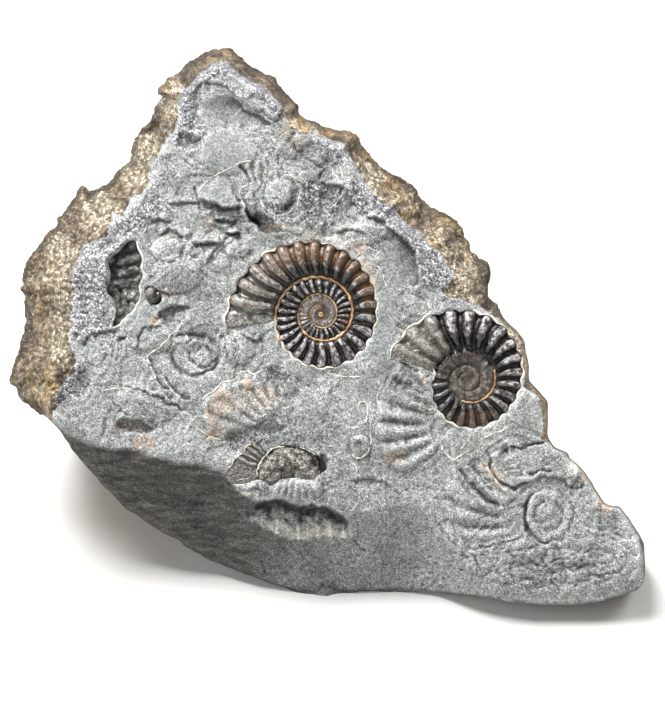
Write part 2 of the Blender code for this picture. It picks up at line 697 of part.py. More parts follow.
def left_shell_height(points):
    """Top of the broken left shell: level ribs, sunk below the face and broken away towards the bottom."""
    row = PICTURE_CENTRE[1] - points[:, 1] * PIXELS_PER_MM
    wave = np.cos(2.0 * math.pi * (row - LEFT_SHELL_RIB_PHASE) / LEFT_SHELL_RIB_PITCH + math.pi)
    broken = smooth((row - LEFT_SHELL_BREAK_START) / LEFT_SHELL_BREAK_SPAN)
    ribs = LEFT_SHELL_RIB_HEIGHT * wave * (1.0 - 0.5 * broken)
    return ribs - LEFT_SHELL_SINK - 0.9 * broken + 0.3 * lumps(points, 1.8, 6.2)


def bead_outline():
    """Oval outline of the shell grain."""
    centre = face_point(*BEAD_CENTRE)
    turn = np.linspace(0.0, 2.0 * math.pi, BEAD_SIDES, endpoint=False)
    half_width = BEAD_HALF_SIZE[0] / PIXELS_PER_MM
    half_height = BEAD_HALF_SIZE[1] / PIXELS_PER_MM
    return np.stack([centre[0] + half_width * np.cos(turn), centre[1] + half_height * np.sin(turn)], axis=1)


def bead_height(points):
    """Domed top of the shell grain."""
    centre = np.array(face_point(*BEAD_CENTRE))
    half = np.array(BEAD_HALF_SIZE) / PIXELS_PER_MM
    share = (((points - centre) / half) ** 2).sum(axis=1)
    return BEAD_HEIGHT * np.sqrt(np.clip(1.0 - share, 0.0, 1.0)) - BEAD_SINK


def stone_block(beds, material):
    """Closed solid of the stone: its face with a bed for each shell, its edge, back and flat base."""
    rim = counter_clockwise(resample(face_points(STONE_OUTLINE), RIM_STEP))
    inner_rim = offset_loop(rim, -RIM_INSET)
    lips = [offset_loop(outline, BED_CLEARANCE + BED_WALL_DRAFT) for outline, _ in beds]
    floors = [offset_loop(outline, BED_CLEARANCE) for outline, _ in beds]
    fine_zones = [face_points(zone) for zone in (RIBBED_HOLLOW, TAN_FAN, GREY_FAN, MOULD_ZONE)]
    coarse = triangle_grid(rim.min(axis=0), rim.max(axis=0), FACE_STEP)
    coarse = coarse[inside(coarse, inner_rim)]
    fine = triangle_grid(rim.min(axis=0), rim.max(axis=0), FINE_STEP)
    in_zone = np.zeros(len(fine), dtype=bool)
    for zone in fine_zones:
        in_zone |= inside(fine, zone)
        coarse = coarse[~inside(coarse, zone)]
    fine = fine[in_zone]
    fine = fine[inside(fine, inner_rim)]
    loose = np.concatenate([inner_rim, clear_of(np.concatenate([coarse, fine]), [inner_rim], CLEAR_OF_EDGES)])
    for lip in lips:
        loose = loose[~inside(loose, lip)]
    loose = clear_of(loose, lips, 0.5 * CLEAR_OF_EDGES)
    loops = [rim] + [loop for pair in zip(lips, floors) for loop in pair]
    front, sources, front_faces = triangulate(loops, loose)
    depth = face_depth(front)
    edge = edge_band(rim)[0]
    first = len(rim)
    level = {index: edge[index] for index in range(len(rim))}
    for (_, floor), lip in zip(beds, lips):
        count = len(lip)
        level.update({index: floor - BED_FLOOR_GAP for index in range(first + count, first + 2 * count)})
        first += 2 * count
    depth = np.array([level.get(source, own) for source, own in zip(sources, depth)])
    places = [to_world(p[0], p[1], w) for p, w in zip(front, depth)]
    rim_place = {source: number for number, source in enumerate(sources) if source < len(rim)}
    rear_loose = triangle_grid(rim.min(axis=0), rim.max(axis=0), BACK_STEP)
    rear_loose = rear_loose[inside(rear_loose, inner_rim)]
    rear_loose = clear_of(rear_loose, [inner_rim], 0.4 * BACK_STEP)
    rear_loose = np.concatenate([inner_rim, rear_loose])
    first_rear, _, first_faces = triangulate([rim], rear_loose)
    foot = base_edge(first_rear, [tuple(t) for t in first_faces])
    apart = np.linalg.norm(rear_loose[:, None, :] - foot[None, :, :], axis=2).min(axis=1)
    rear_loose = np.concatenate([rear_loose[apart > 0.5 * BASE_EDGE_STEP], foot])
    rear, rear_sources, rear_faces = triangulate([rim], rear_loose)
    rear_level = rear_depth(rear)
    rear_distance = edge_band(rear)[1]
    numbers = []
    for point, w, distance, source in zip(rear, rear_level, rear_distance, rear_sources):
        if source < len(rim):
            numbers.append(rim_place[source])
        else:
            numbers.append(len(places))
            places.append(knobbly(to_world(point[0], point[1], w), distance))
    faces = [tuple(f) for f in front_faces] + [tuple(numbers[i] for i in reversed(f)) for f in rear_faces]
    return make_object("stone", places, faces, material)


def main():
    """Build every piece of the cluster."""
    for item in list(bpy.data.objects):
        bpy.data.objects.remove(item, do_unlink=True)
    limestone = principled("limestone", (0.29, 0.30, 0.30), 0.85)
    dark_shell = principled("dark_shell", (0.035, 0.022, 0.014), 0.25)
    olive_shell = principled("olive_shell", (0.10, 0.075, 0.045), 0.35)
    mottled_shell = principled("mottled_shell", (0.10, 0.095, 0.09), 0.45)
    black_shell = principled("black_shell", (0.02, 0.02, 0.02), 0.3)
    bead_shell = principled("bead_shell", (0.05, 0.025, 0.012), 0.2)
    centre_grid = shell_grid(CENTRE_SHELL_HUB, CENTRE_SHELL_APERTURE, CENTRE_SHELL_RADII, CENTRE_SHELL_RIBS)
    right_grid = shell_grid(RIGHT_SHELL_HUB, RIGHT_SHELL_APERTURE, RIGHT_SHELL_RADII, RIGHT_SHELL_RIBS)
    lower = counter_clockwise(face_points(LOWER_SHELL_OUTLINE))
    left = counter_clockwise(face_points(LEFT_SHELL_OUTLINE))
    bead = bead_outline()
    coiled_shell("ammonite_centre", centre_grid, dark_shell)
    coiled_shell("ammonite_right", right_grid, olive_shell)
    relief_solid("ammonite_lower", lower, BROKEN_STEP, lower_shell_height, LOWER_SHELL_FLOOR, mottled_shell)
    relief_solid("ammonite_left", left, BROKEN_STEP, left_shell_height, LEFT_SHELL_FLOOR, black_shell)
    relief_solid("shell_bead", bead, BEAD_STEP, bead_height, BEAD_FLOOR, bead_shell)
    beds = [
        (shell_outline(*centre_grid[:3]), -SHELL_FLOOR_DEPTH),
        (shell_outline(*right_grid[:3]), -SHELL_FLOOR_DEPTH),
        (resample(lower, BROKEN_STEP), LOWER_SHELL_FLOOR),
        (resample(left, BROKEN_STEP), LEFT_SHELL_FLOOR),
        (resample(bead, BEAD_STEP), BEAD_FLOOR),
    ]
    stone_block(beds, limestone)


if __name__ == "__main__":
    main()
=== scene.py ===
"""Looks of an ammonite cluster: ribbed fossil shells in the leaning face of a grey limestone block.

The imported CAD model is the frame. Every piece here is finer than the CAD solid that it replaces, in the same
place. On the leaning face u runs right, v runs up and w runs out, in millimetres. Outlines are readings in
picture pixels, taken square to the face, and Reading turns them into millimetres. A mark's numbers follow its fields.
"""

import logging
import math
from dataclasses import dataclass, field
from enum import Enum
from typing import Iterable, Optional, Sequence

import bmesh
import bpy
import numpy as np
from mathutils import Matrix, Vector, noise
from mathutils.geometry import delaunay_2d_cdt


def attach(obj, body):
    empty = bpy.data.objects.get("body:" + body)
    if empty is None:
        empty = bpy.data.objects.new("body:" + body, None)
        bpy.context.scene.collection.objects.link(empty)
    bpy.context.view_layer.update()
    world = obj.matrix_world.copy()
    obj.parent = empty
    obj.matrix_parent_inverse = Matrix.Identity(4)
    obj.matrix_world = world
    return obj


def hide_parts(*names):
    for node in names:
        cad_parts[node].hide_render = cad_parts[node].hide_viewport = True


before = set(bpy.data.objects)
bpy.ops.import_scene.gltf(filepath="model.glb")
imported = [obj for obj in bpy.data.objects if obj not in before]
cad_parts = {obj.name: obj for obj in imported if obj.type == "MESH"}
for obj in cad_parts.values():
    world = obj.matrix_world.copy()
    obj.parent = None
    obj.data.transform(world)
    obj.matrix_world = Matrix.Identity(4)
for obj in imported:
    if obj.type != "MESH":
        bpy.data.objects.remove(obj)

log = logging.getLogger("ammonite_cluster")

Points = np.ndarray
Path = Sequence[tuple[float, float]]
Socket = bpy.types.NodeSocket

MM = 0.001
NOISE_SEED = 1795639162


class Zone(Enum):
    """Kinds of surface on the stone. Each is kept at its vertices as an attribute of that name."""

    RIND = "rind"
    WALL = "wall"
    SUGAR = "sugar"
    TAN = "tan"
    PALE = "pale"
    SMOOTH = "smooth"
    DARK = "dark"
    CREAM = "cream"
    RUST = "rust"
    # Painted shadow along ledges, grooves and under the hollow's lip, and patches made darker.
    SHADOW_AND_DARKENING = "shadow_and_darkening"
    # Relief over or under the surroundings, from which the finish paints highlight on ridges and shade in hollows.
    CAVITY = "cavity"


class Tone(Enum):
    """Values kept at a shell's vertices. The last three are rib number, turns inwards and way across."""

    CREST = "crest"
    AMBER = "amber"
    OLIVE = "olive"
    DULL = "dull"
    # Share painted near black: painted shade on whorl walls round the hub and in sunken parts, and black inner
    # whorls.
    DEEP = "deep"
    BEAT = "beat"
    TURN = "turn"
    SHARE = "share"


@dataclass(frozen=True)
class Reading:
    """How a picture reading becomes a place on the block. The values match the CAD model's."""

    pixels_per_mm: float = 5.5
    centre_x: float = 332.5
    centre_y: float = 351.0
    distance: float = 280.0
    lean: float = math.radians(35.0)
    height: float = 43.5
    middle_x: float = -0.96
    middle_y: float = 13.63
    picture_height: float = 702.0
    sensor: float = 36.0

    def point(self, x: float, y: float) -> tuple[float, float]:
        """Millimetres on the face of one reading."""
        return (x - self.centre_x) / self.pixels_per_mm, (self.centre_y - y) / self.pixels_per_mm

    def points(self, readings: Iterable[Sequence[float]]) -> Points:
        """Millimetres on the face of several readings."""
        return np.array([self.point(entry[0], entry[1]) for entry in readings])

    def pixels(self, points: Points) -> tuple[Points, Points]:
        """Picture column and row of face points."""
        column = self.centre_x + points[:, 0] * self.pixels_per_mm
        return column, self.centre_y - points[:, 1] * self.pixels_per_mm

    def world(self, flat: Points, depth: Points) -> Points:
        """Place readings of the given depths in metres in the frame.

        Args:
            flat: Face points as read, one row each.
            depth: Height w of each point over the face.

        Returns:
            One row of x, y and z for each point.
        """
        reach = (self.distance - depth) / self.distance
        along = flat[:, 1] * reach
        back = along * math.sin(self.lean) - depth * math.cos(self.lean)
        up = along * math.cos(self.lean) + depth * math.sin(self.lean) + self.height
        return np.stack([flat[:, 0] * reach - self.middle_x, back - self.middle_y, up], axis=1) * MM

    def ground(self, v: Points) -> Points:
        """Depth at which the sight line of v meets the ground."""
        rise = math.cos(self.lean) * v
        return -(self.height + rise) / (math.sin(self.lean) - rise / self.distance)

    def outward(self) -> Vector:
        """Unit vector out of the face."""
        return Vector((0.0, -math.cos(self.lean), math.sin(self.lean)))


READ = Reading()


def linear(code: str) -> tuple[float, float, float, float]:
    """Turn an sRGB hex colour into linear values with full alpha."""
    values = [int(code[i:i + 2], 16) / 255.0 for i in (1, 3, 5)]
    lin = [c / 12.92 if c <= 0.04045 else ((c + 0.055) / 1.055) ** 2.4 for c in values]
    return lin[0], lin[1], lin[2], 1.0


def smooth(value: Points) -> Points:
    """Ease from 0 to 1."""
    value = np.clip(value, 0.0, 1.0)
    return value * value * (3.0 - 2.0 * value)


def span(value: Points, start: float, rise: float, end: float, fall: float) -> Points:
    """Ease in from a start over a rise, and out again over a fall that is done at an end."""
    return smooth((value - start) / rise) * smooth((end - value) / fall)


def ring(radius: Points, middle: float, width: float) -> Points:
    """Soft band round a middle radius, 1 on its line."""
    return np.exp(-((radius - middle) / width) ** 2)


def to_path(points: Points, path: Points, closed: bool = False) -> tuple[Points, Points, Points, Points]:
    """Find the nearest place on a path.

    Args:
        points: Points to measure from.
        path: Corners of the path.
        closed: Whether the path returns to its start.

    Returns:
        Distance, segment number, share along the segment, and side (+1 on the left, -1 on the right).
    """
    start = path if closed else path[:-1]
    end = np.roll(path, -1, axis=0) if closed else path[1:]
    best = np.full(len(points), 1e9)
    segment = np.zeros(len(points), dtype=int)
    share = np.zeros(len(points))
    side = np.ones(len(points))
    for number, (a, b) in enumerate(zip(start, end)):
        along = b - a
        offset = points - a
        part = np.clip(offset @ along / max(float(along @ along), 1e-9), 0.0, 1.0)
        gap = offset - part[:, None] * along
        distance = np.hypot(gap[:, 0], gap[:, 1])
        nearer = distance < best
        cross = along[0] * offset[:, 1] - along[1] * offset[:, 0]
        best = np.where(nearer, distance, best)
        segment = np.where(nearer, number, segment)
        share = np.where(nearer, part, share)
        side = np.where(nearer, np.where(cross >= 0.0, 1.0, -1.0), side)
    return best, segment, share, side


def inside(points: Points, loop: Points) -> Points:
    """Which points lie inside a closed loop."""
    result = np.zeros(len(points), dtype=bool)
    for a, b in zip(loop, np.roll(loop, -1, axis=0)):
        spans = (a[1] > points[:, 1]) != (b[1] > points[:, 1])
        drop = b[1] - a[1] if abs(b[1] - a[1]) > 1e-9 else 1e-9
        result ^= spans & (points[:, 0] < a[0] + (points[:, 1] - a[1]) * (b[0] - a[0]) / drop)
    return result


def near_to(points: Points, path: Points, margin: float) -> Points:
    """Which points lie in the box round a path, grown by a margin."""
    return ((points > path.min(axis=0) - margin) & (points < path.max(axis=0) + margin)).all(axis=1)


def within(points: Points, readings: Path, margin: float, spread: float = 0.0) -> Points:
    """Share of each point inside an outline: 0 outside, rising to 1 at a margin inside it.

    Args:
        points: Face points.
        readings: Outline as picture readings.
        margin: Width of the rise in millimetres.
        spread: How far outside the outline the rise begins.

    Returns:
        Values from 0 to 1.
    """
    loop = READ.points(readings)
    near = near_to(points, loop, spread)
    share = np.zeros(len(points))
    if near.any():
        some = points[near]
        distance = to_path(some, loop, closed=True)[0]
        signed = np.where(inside(some, loop), distance, -distance)
        share[near] = smooth((signed + spread) / margin)
    return share


def polar(points: Points, hub: tuple[float, float], stretch: tuple[float, float] = (1.0,
                                                                                    1.0)) -> tuple[Points,
                                                                                                   Points]:
    """Distance in millimetres and angle of face points round a hub that is given as a reading."""
    offset = points - np.array(READ.point(*hub))
    radius = np.hypot(offset[:, 0] * stretch[0], offset[:, 1] * stretch[1])
    return radius, np.arctan2(offset[:, 1], offset[:, 0])


def lumps(points: Points, size: float, seed: float) -> Points:
    """Smooth noise from -1 to 1 with lumps of a given size, over face points or places in space."""
    flat = points.shape[1] == 2
    rows = points / size
    if flat:
        return np.array([noise.noise(Vector((p[0], p[1], seed))) for p in rows.tolist()]) * 1.6
    return np.array([noise.noise(Vector((p[0] + seed, p[1], p[2]))) for p in rows.tolist()]) * 1.6


def chips(points: Points, size: float, seed: float) -> Points:
    """Angular noise from 0 to 1: flat chips with sharp valleys between them."""
    flat = points.shape[1] == 2
    rows = points / size
    result = []
    for p in rows.tolist():
        place = Vector((p[0], p[1], seed)) if flat else Vector((p[0] + seed, p[1], p[2]))
        near = noise.voronoi(place)[0]
        result.append(near[1] - near[0])
    return np.clip(np.array(result), 0.0, 1.0)


def wander(points: Points, amount: float, size: float, seed: float, other: float) -> Points:
    """Shift for each face point, by an amount in millimetres, in lumps of a size, with two seeds."""
    return amount * np.stack([lumps(points, size, seed), lumps(points, size, other)], axis=1)


def pushes(places: Points, size: float) -> Points:
    """Smooth noise vectors with lumps of a given size, at places in space."""
    return np.array([tuple(noise.noise_vector(Vector(p) / size)) for p in places.tolist()])


def catmull(path: Points, step: float, closed: bool = False) -> Points:
    """Smooth curve through the corners of a path, with points about one step apart."""
    count = len(path)
    result = []
    last = count if closed else count - 1
    for i in range(last):
        if closed:
            a, b, c, d = (path[(i + k) % count] for k in (-1, 0, 1, 2))
        else:
            a, b, c, d = (path[min(max(i + k, 0), count - 1)] for k in (-1, 0, 1, 2))
        parts = max(1, math.ceil(float(np.linalg.norm(c - b)) / step))
        for k in range(parts):
            t = k / parts
            result.append(b + 0.5 * t * (c - a + t * (2 * a - 5 * b + 4 * c - d + t * (3 * (b - c) + d - a))))
    if not closed:
        result.append(path[-1])
    return np.array(result)


def counter_clockwise(loop: Points) -> Points:
    """Return a loop in counter-clockwise order."""
    after = np.roll(loop, -1, axis=0)
    return loop if (loop[:, 0] * after[:, 1] - after[:, 0] * loop[:, 1]).sum() > 0.0 else loop[::-1].copy()


def offset_loop(loop: Points, distance: float) -> Points:
    """Grow a counter-clockwise loop outwards by a distance."""
    before = loop - np.roll(loop, 1, axis=0)
    after = np.roll(loop, -1, axis=0) - loop
    before = before / np.linalg.norm(before, axis=1)[:, None]
    after = after / np.linalg.norm(after, axis=1)[:, None]
    bisector = before + after
    normal = np.stack([bisector[:, 1], -bisector[:, 0]], axis=1)
    normal = normal / np.maximum(np.linalg.norm(normal, axis=1), 1e-9)[:, None]
    return loop + normal * distance


def triangle_grid(low: Points, high: Points, step: float) -> Points:
    """Points of a triangular grid over a box."""
    rows = np.arange(low[1], high[1], step * 0.866)
    columns = np.arange(low[0], high[0], step)
    u, v = np.meshgrid(columns, rows)
    u = u + 0.5 * step * (np.arange(len(rows)) % 2)[:, None]
    return np.stack([u.ravel(), v.ravel()], axis=1)


def triangulate(loops: Sequence[Points], loose: Points) -> tuple[Points, list[int],
                                                                 list[tuple[int, int, int]]]:
    """Triangulate closed loops and loose points.

    Args:
        loops: Closed loops, whose sides stay edges. The first bounds the result.
        loose: Further points.

    Returns:
        The points, the number of the source of each (loops first), and the triangles.
    """
    corners = [Vector(p) for loop in loops for p in loop.tolist()]
    edges = []
    first = 0
    for loop in loops:
        count = len(loop)
        edges += [(first + i, first + (i + 1) % count) for i in range(count)]
        first += count
    corners += [Vector(p) for p in loose.tolist()]
    found, _, triangles, sources, _, _ = delaunay_2d_cdt(corners, edges, [], 1, 1e-7)
    numbers = [s[0] if s else -1 for s in sources]
    return np.array([tuple(p) for p in found]), numbers, [tuple(t) for t in triangles]


@dataclass(frozen=True)
class Mound:
    """A low rounded form, or a hollow where its height is negative. Centre and half sizes in pixels."""

    x: float
    y: float
    half_width: float
    half_height: float
    height: float
    turn: float = 0.0
    power: float = 0.7

    def share(self, points: Points) -> Points:
        """How far each point lies towards the centre, from 0 at the edge to 1."""
        centre = READ.point(self.x, self.y)
        across = points[:, 0] - centre[0]
        up = points[:, 1] - centre[1]
        angle = math.radians(self.turn)
        along = (across * math.cos(angle) + up * math.sin(angle)) * READ.pixels_per_mm / self.half_width
        aside = (up * math.cos(angle) - across * math.sin(angle)) * READ.pixels_per_mm / self.half_height
        return np.clip(1.0 - along ** 2 - aside ** 2, 0.0, 1.0)

    def lift(self, points: Points) -> Points:
        """Height over the face in millimetres."""
        return self.height * self.share(points) ** self.power


@dataclass(frozen=True)
class Ledge:
    """A broken step. The stone stands higher on the left, walking along the line, and fades back to the face.

    Attributes:
        line: Readings along the step.
        height: Height of the step in millimetres.
        fade: Distance in pixels over which it fades.
        sharp: Width of the step itself in millimetres.
    """

    line: Path
    height: float
    fade: float = 14.0
    sharp: float = 0.18

    def lift(self, points: Points) -> Points:
        """Height over the face in millimetres."""
        path = READ.points(self.line)
        fade = self.fade / READ.pixels_per_mm
        near = near_to(points, path, fade)
        result = np.zeros(len(points))
        if near.any():
            distance, segment, share, side = to_path(points[near], path)
            signed = distance * side
            whole = (segment + share) / max(len(path) - 1, 1)
            ends = smooth(np.minimum(whole, 1.0 - whole) / 0.12 + 0.05)
            fall = np.clip(1.0 - np.abs(signed) / fade, 0.0, 1.0)
            step = smooth(signed / self.sharp + 0.5) - 0.5
            result[near] = self.height * step * fall ** 1.3 * ends
        return result


@dataclass(frozen=True)
class Groove:
    """A narrow groove, or a thin ridge where its depth is negative: depth in millimetres, width in pixels."""

    line: Path
    depth: float
    width: float = 2.0

    def lift(self, points: Points) -> Points:
        """Height over the face in millimetres."""
        path = catmull(READ.points(self.line), 0.6)
        near = near_to(points, path, self.width / READ.pixels_per_mm * 2.5)
        result = np.zeros(len(points))
        if near.any():
            distance, segment, share, _ = to_path(points[near], path)
            whole = (segment + share) / max(len(path) - 1, 1)
            ends = smooth(np.minimum(whole, 1.0 - whole) / 0.15)
            off = distance * READ.pixels_per_mm / self.width
            result[near] = -self.depth * ends * np.exp(-off ** 2 * 1.5)
        return result


@dataclass(frozen=True)
class RibFan:
    """A patch of ribs that fan out from a hub, inside an outline.

    Attributes:
        outline: Readings round the patch.
        hub: Reading from which the ribs fan out.
        ribs: Number of ribs in a whole turn.
        height: Height of a rib in millimetres.
        base: Height of the patch under its ribs.
        phase: Angle by which the first rib is turned.
        margin: Width in millimetres over which the patch rises at its edge.
        sharp: Power that narrows the ribs.
        curve: Bend of the ribs for each millimetre outwards.
        start: Distance from the hub in pixels at which the ribs begin.
        drift: How far the ribs stray from even steps.
        uneven: How much their height varies.
    """

    outline: Path
    hub: tuple[float, float]
    ribs: float
    height: float
    base: float = 0.0
    phase: float = 0.0
    margin: float = 1.2
    sharp: float = 1.6
    curve: float = 0.0
    start: float = 0.0
    drift: float = 0.5
    uneven: float = 0.45

    def lift(self, points: Points) -> Points:
        """Height over the face in millimetres."""
        share = within(points, self.outline, self.margin)
        radius, angle = polar(points, self.hub)
        drift = self.drift * lumps(points, 4.0, self.ribs)
        wave = 0.5 + 0.5 * np.cos((angle + self.curve * radius) * self.ribs + self.phase + drift)
        away = smooth((radius * READ.pixels_per_mm - self.start) / 16.0) if self.start else 1.0
        uneven = 0.75 + self.uneven * lumps(points, 2.6, self.ribs + 1.0)
        return share * (self.base + self.height * uneven * away * wave ** self.sharp)


@dataclass(frozen=True)
class Blot:
    """A soft patch of colour: centre and half sizes in pixels, and its strength."""

    x: float
    y: float
    half_width: float
    half_height: float
    strength: float = 1.0
    turn: float = 0.0

    def paint(self, points: Points) -> Points:
        """Strength at each point."""
        share = Mound(self.x, self.y, self.half_width, self.half_height, 1.0, self.turn).share(points)
        return self.strength * smooth(share * 1.6)


@dataclass(frozen=True)
class Patch:
    """A patch of colour inside an outline, with soft edges of a width in millimetres."""

    outline: Path
    strength: float = 1.0
    margin: float = 1.4

    def paint(self, points: Points) -> Points:
        """Strength at each point."""
        return self.strength * within(points, self.outline, self.margin, 0.5 * self.margin)


@dataclass(frozen=True)
class Streak:
    """A line of colour with soft sides: its width in pixels, and its strength."""

    line: Path
    width: float
    strength: float = 1.0

    def paint(self, points: Points) -> Points:
        """Strength at each point."""
        path = READ.points(self.line)
        distance = to_path(points, path)[0] * READ.pixels_per_mm
        return self.strength * smooth(1.5 * (1.0 - distance / self.width))


def strongest(points: Points, marks: Sequence[Blot | Streak | Patch]) -> Points:
    """Strongest of several marks at each point."""
    total = np.zeros(len(points))
    for mark in marks:
        total = np.maximum(total, mark.paint(points))
    return total


class Shades:
    """A node tree under construction, with one helper that adds and links a node."""

    def __init__(self, name: str) -> None:
        """Start an empty material."""
        self.material = bpy.data.materials.new(name)
        self.material.use_nodes = True
        self.tree = self.material.node_tree
        self.tree.nodes.clear()
        self.output = self.tree.nodes.new("ShaderNodeOutputMaterial")

    def add(self, kind: str, inputs: Optional[dict] = None, out: int | str = 0, **settings) -> Socket:
        """Add a node.

        Args:
            kind: Node type without its ShaderNode prefix.
            inputs: Socket name or number to a value or to another node's output.
            out: Which output to return.
            settings: Properties of the node.

        Returns:
            The chosen output socket.
        """
        node = self.tree.nodes.new("ShaderNode" + kind)
        for key, value in settings.items():
            setattr(node, key, value)
        for key, value in (inputs or {}).items():
            socket = node.inputs[key]
            if isinstance(value, bpy.types.NodeSocket):
                self.tree.links.new(value, socket)
            else:
                socket.default_value = value
        return node.outputs[out]

    def ramp(self, value: Socket, stops: Sequence[tuple[float, str]]) -> Socket:
        """Colour ramp over a value, from places and hex colours."""
        node = self.tree.nodes.new("ShaderNodeValToRGB")
        elements = node.color_ramp.elements
        elements[0].position, elements[0].color = stops[0][0], linear(stops[0][1])
        elements[1].position, elements[1].color = stops[-1][0], linear(stops[-1][1])
        for place, code in stops[1:-1]:
            element = elements.new(place)
            element.color = linear(code)
        self.tree.links.new(value, node.inputs[0])
        return node.outputs[0]

    def mix(self, share, first, second, blend: str = "MIX") -> Socket:
        """Mix two colours by a share."""
        return self.add("Mix", {0: share, 6: first, 7: second}, 2, data_type="RGBA", blend_type=blend)

    def math(self, how: str, first, second=0.0, clamp: bool = False) -> Socket:
        """Combine two values."""
        return self.add("Math", {0: first, 1: second}, operation=how, use_clamp=clamp)

    def times(self, first, second, clamp: bool = False) -> Socket:
        """Product of two values."""
        return self.math("MULTIPLY", first, second, clamp)

    def weighed(self, first, first_weight: float, second, second_weight: float) -> Socket:
        """Weighted sum of two values."""
        return self.math("ADD", self.times(first, first_weight), self.times(second, second_weight))

    def swing(self, value, amount: float) -> Socket:
        """How far a noise value lies over or under its middle, times an amount."""
        return self.times(self.math("SUBTRACT", value, 0.5), amount)

    def scaled(self, colour, factor) -> Socket:
        """Colour made lighter or darker by a factor."""
        return self.add("VectorMath", {0: colour, "Scale": factor}, operation="SCALE")

    def noise(self, size_mm: float, detail: float = 2.0, rough: float = 0.5, warp: float = 0.0,
              where=None) -> Socket:
        """Noise with features of a real size, over object coordinates in metres."""
        place = where or self.add("TexCoord", out="Object")
        return self.add("TexNoise", {"Vector": place, "Scale": 1.0 / (size_mm * MM), "Detail": detail,
                                     "Roughness": rough, "Distortion": warp}, "Fac")

    def cells(self, size_mm: float, out: str = "Distance") -> Socket:
        """Cell pattern with cells of a real size."""
        place = self.add("TexCoord", out="Object")
        return self.add("TexVoronoi", {"Vector": place, "Scale": 1.0 / (size_mm * MM)}, out, feature="F1")

    def speckle(self, size_mm: float) -> Socket:
        """A random value for each cell of a real size."""
        return self.add("SeparateColor", {0: self.cells(size_mm, "Color")}, 0)

    def mark(self, name: Zone | Tone) -> Socket:
        """Value of a mesh's own attribute."""
        return self.add("Attribute", out="Fac", attribute_name=name.value)

    def edge(self, value, start: float, end: float) -> Socket:
        """Ease a value from 0 at start to 1 at end."""
        return self.add("MapRange", {0: value, 1: start, 2: end, 3: 0.0, 4: 1.0},
                        interpolation_type="SMOOTHSTEP")

    def ragged(self, zone: Zone, blotch, amount: float, start: float, end: float) -> Socket:
        """Share of a painted zone, with an edge that a blotchy noise breaks up."""
        return self.edge(self.math("ADD", self.mark(zone), self.swing(blotch, amount)), start, end)

    def bump(self, height, strength: float, distance_mm: float, under=None) -> Socket:
        """Bump from a height, on top of another bump where given."""
        inputs = {"Strength": strength, "Distance": distance_mm * MM, "Height": height}
        if under is not None:
            inputs["Normal"] = under
        return self.add("Bump", inputs)

    def finish(self, inputs: dict) -> bpy.types.Material:
        """Add the surface shader and close the tree."""
        shader = self.add("BsdfPrincipled", inputs)
        self.tree.links.new(shader, self.output.inputs["Surface"])
        return self.material


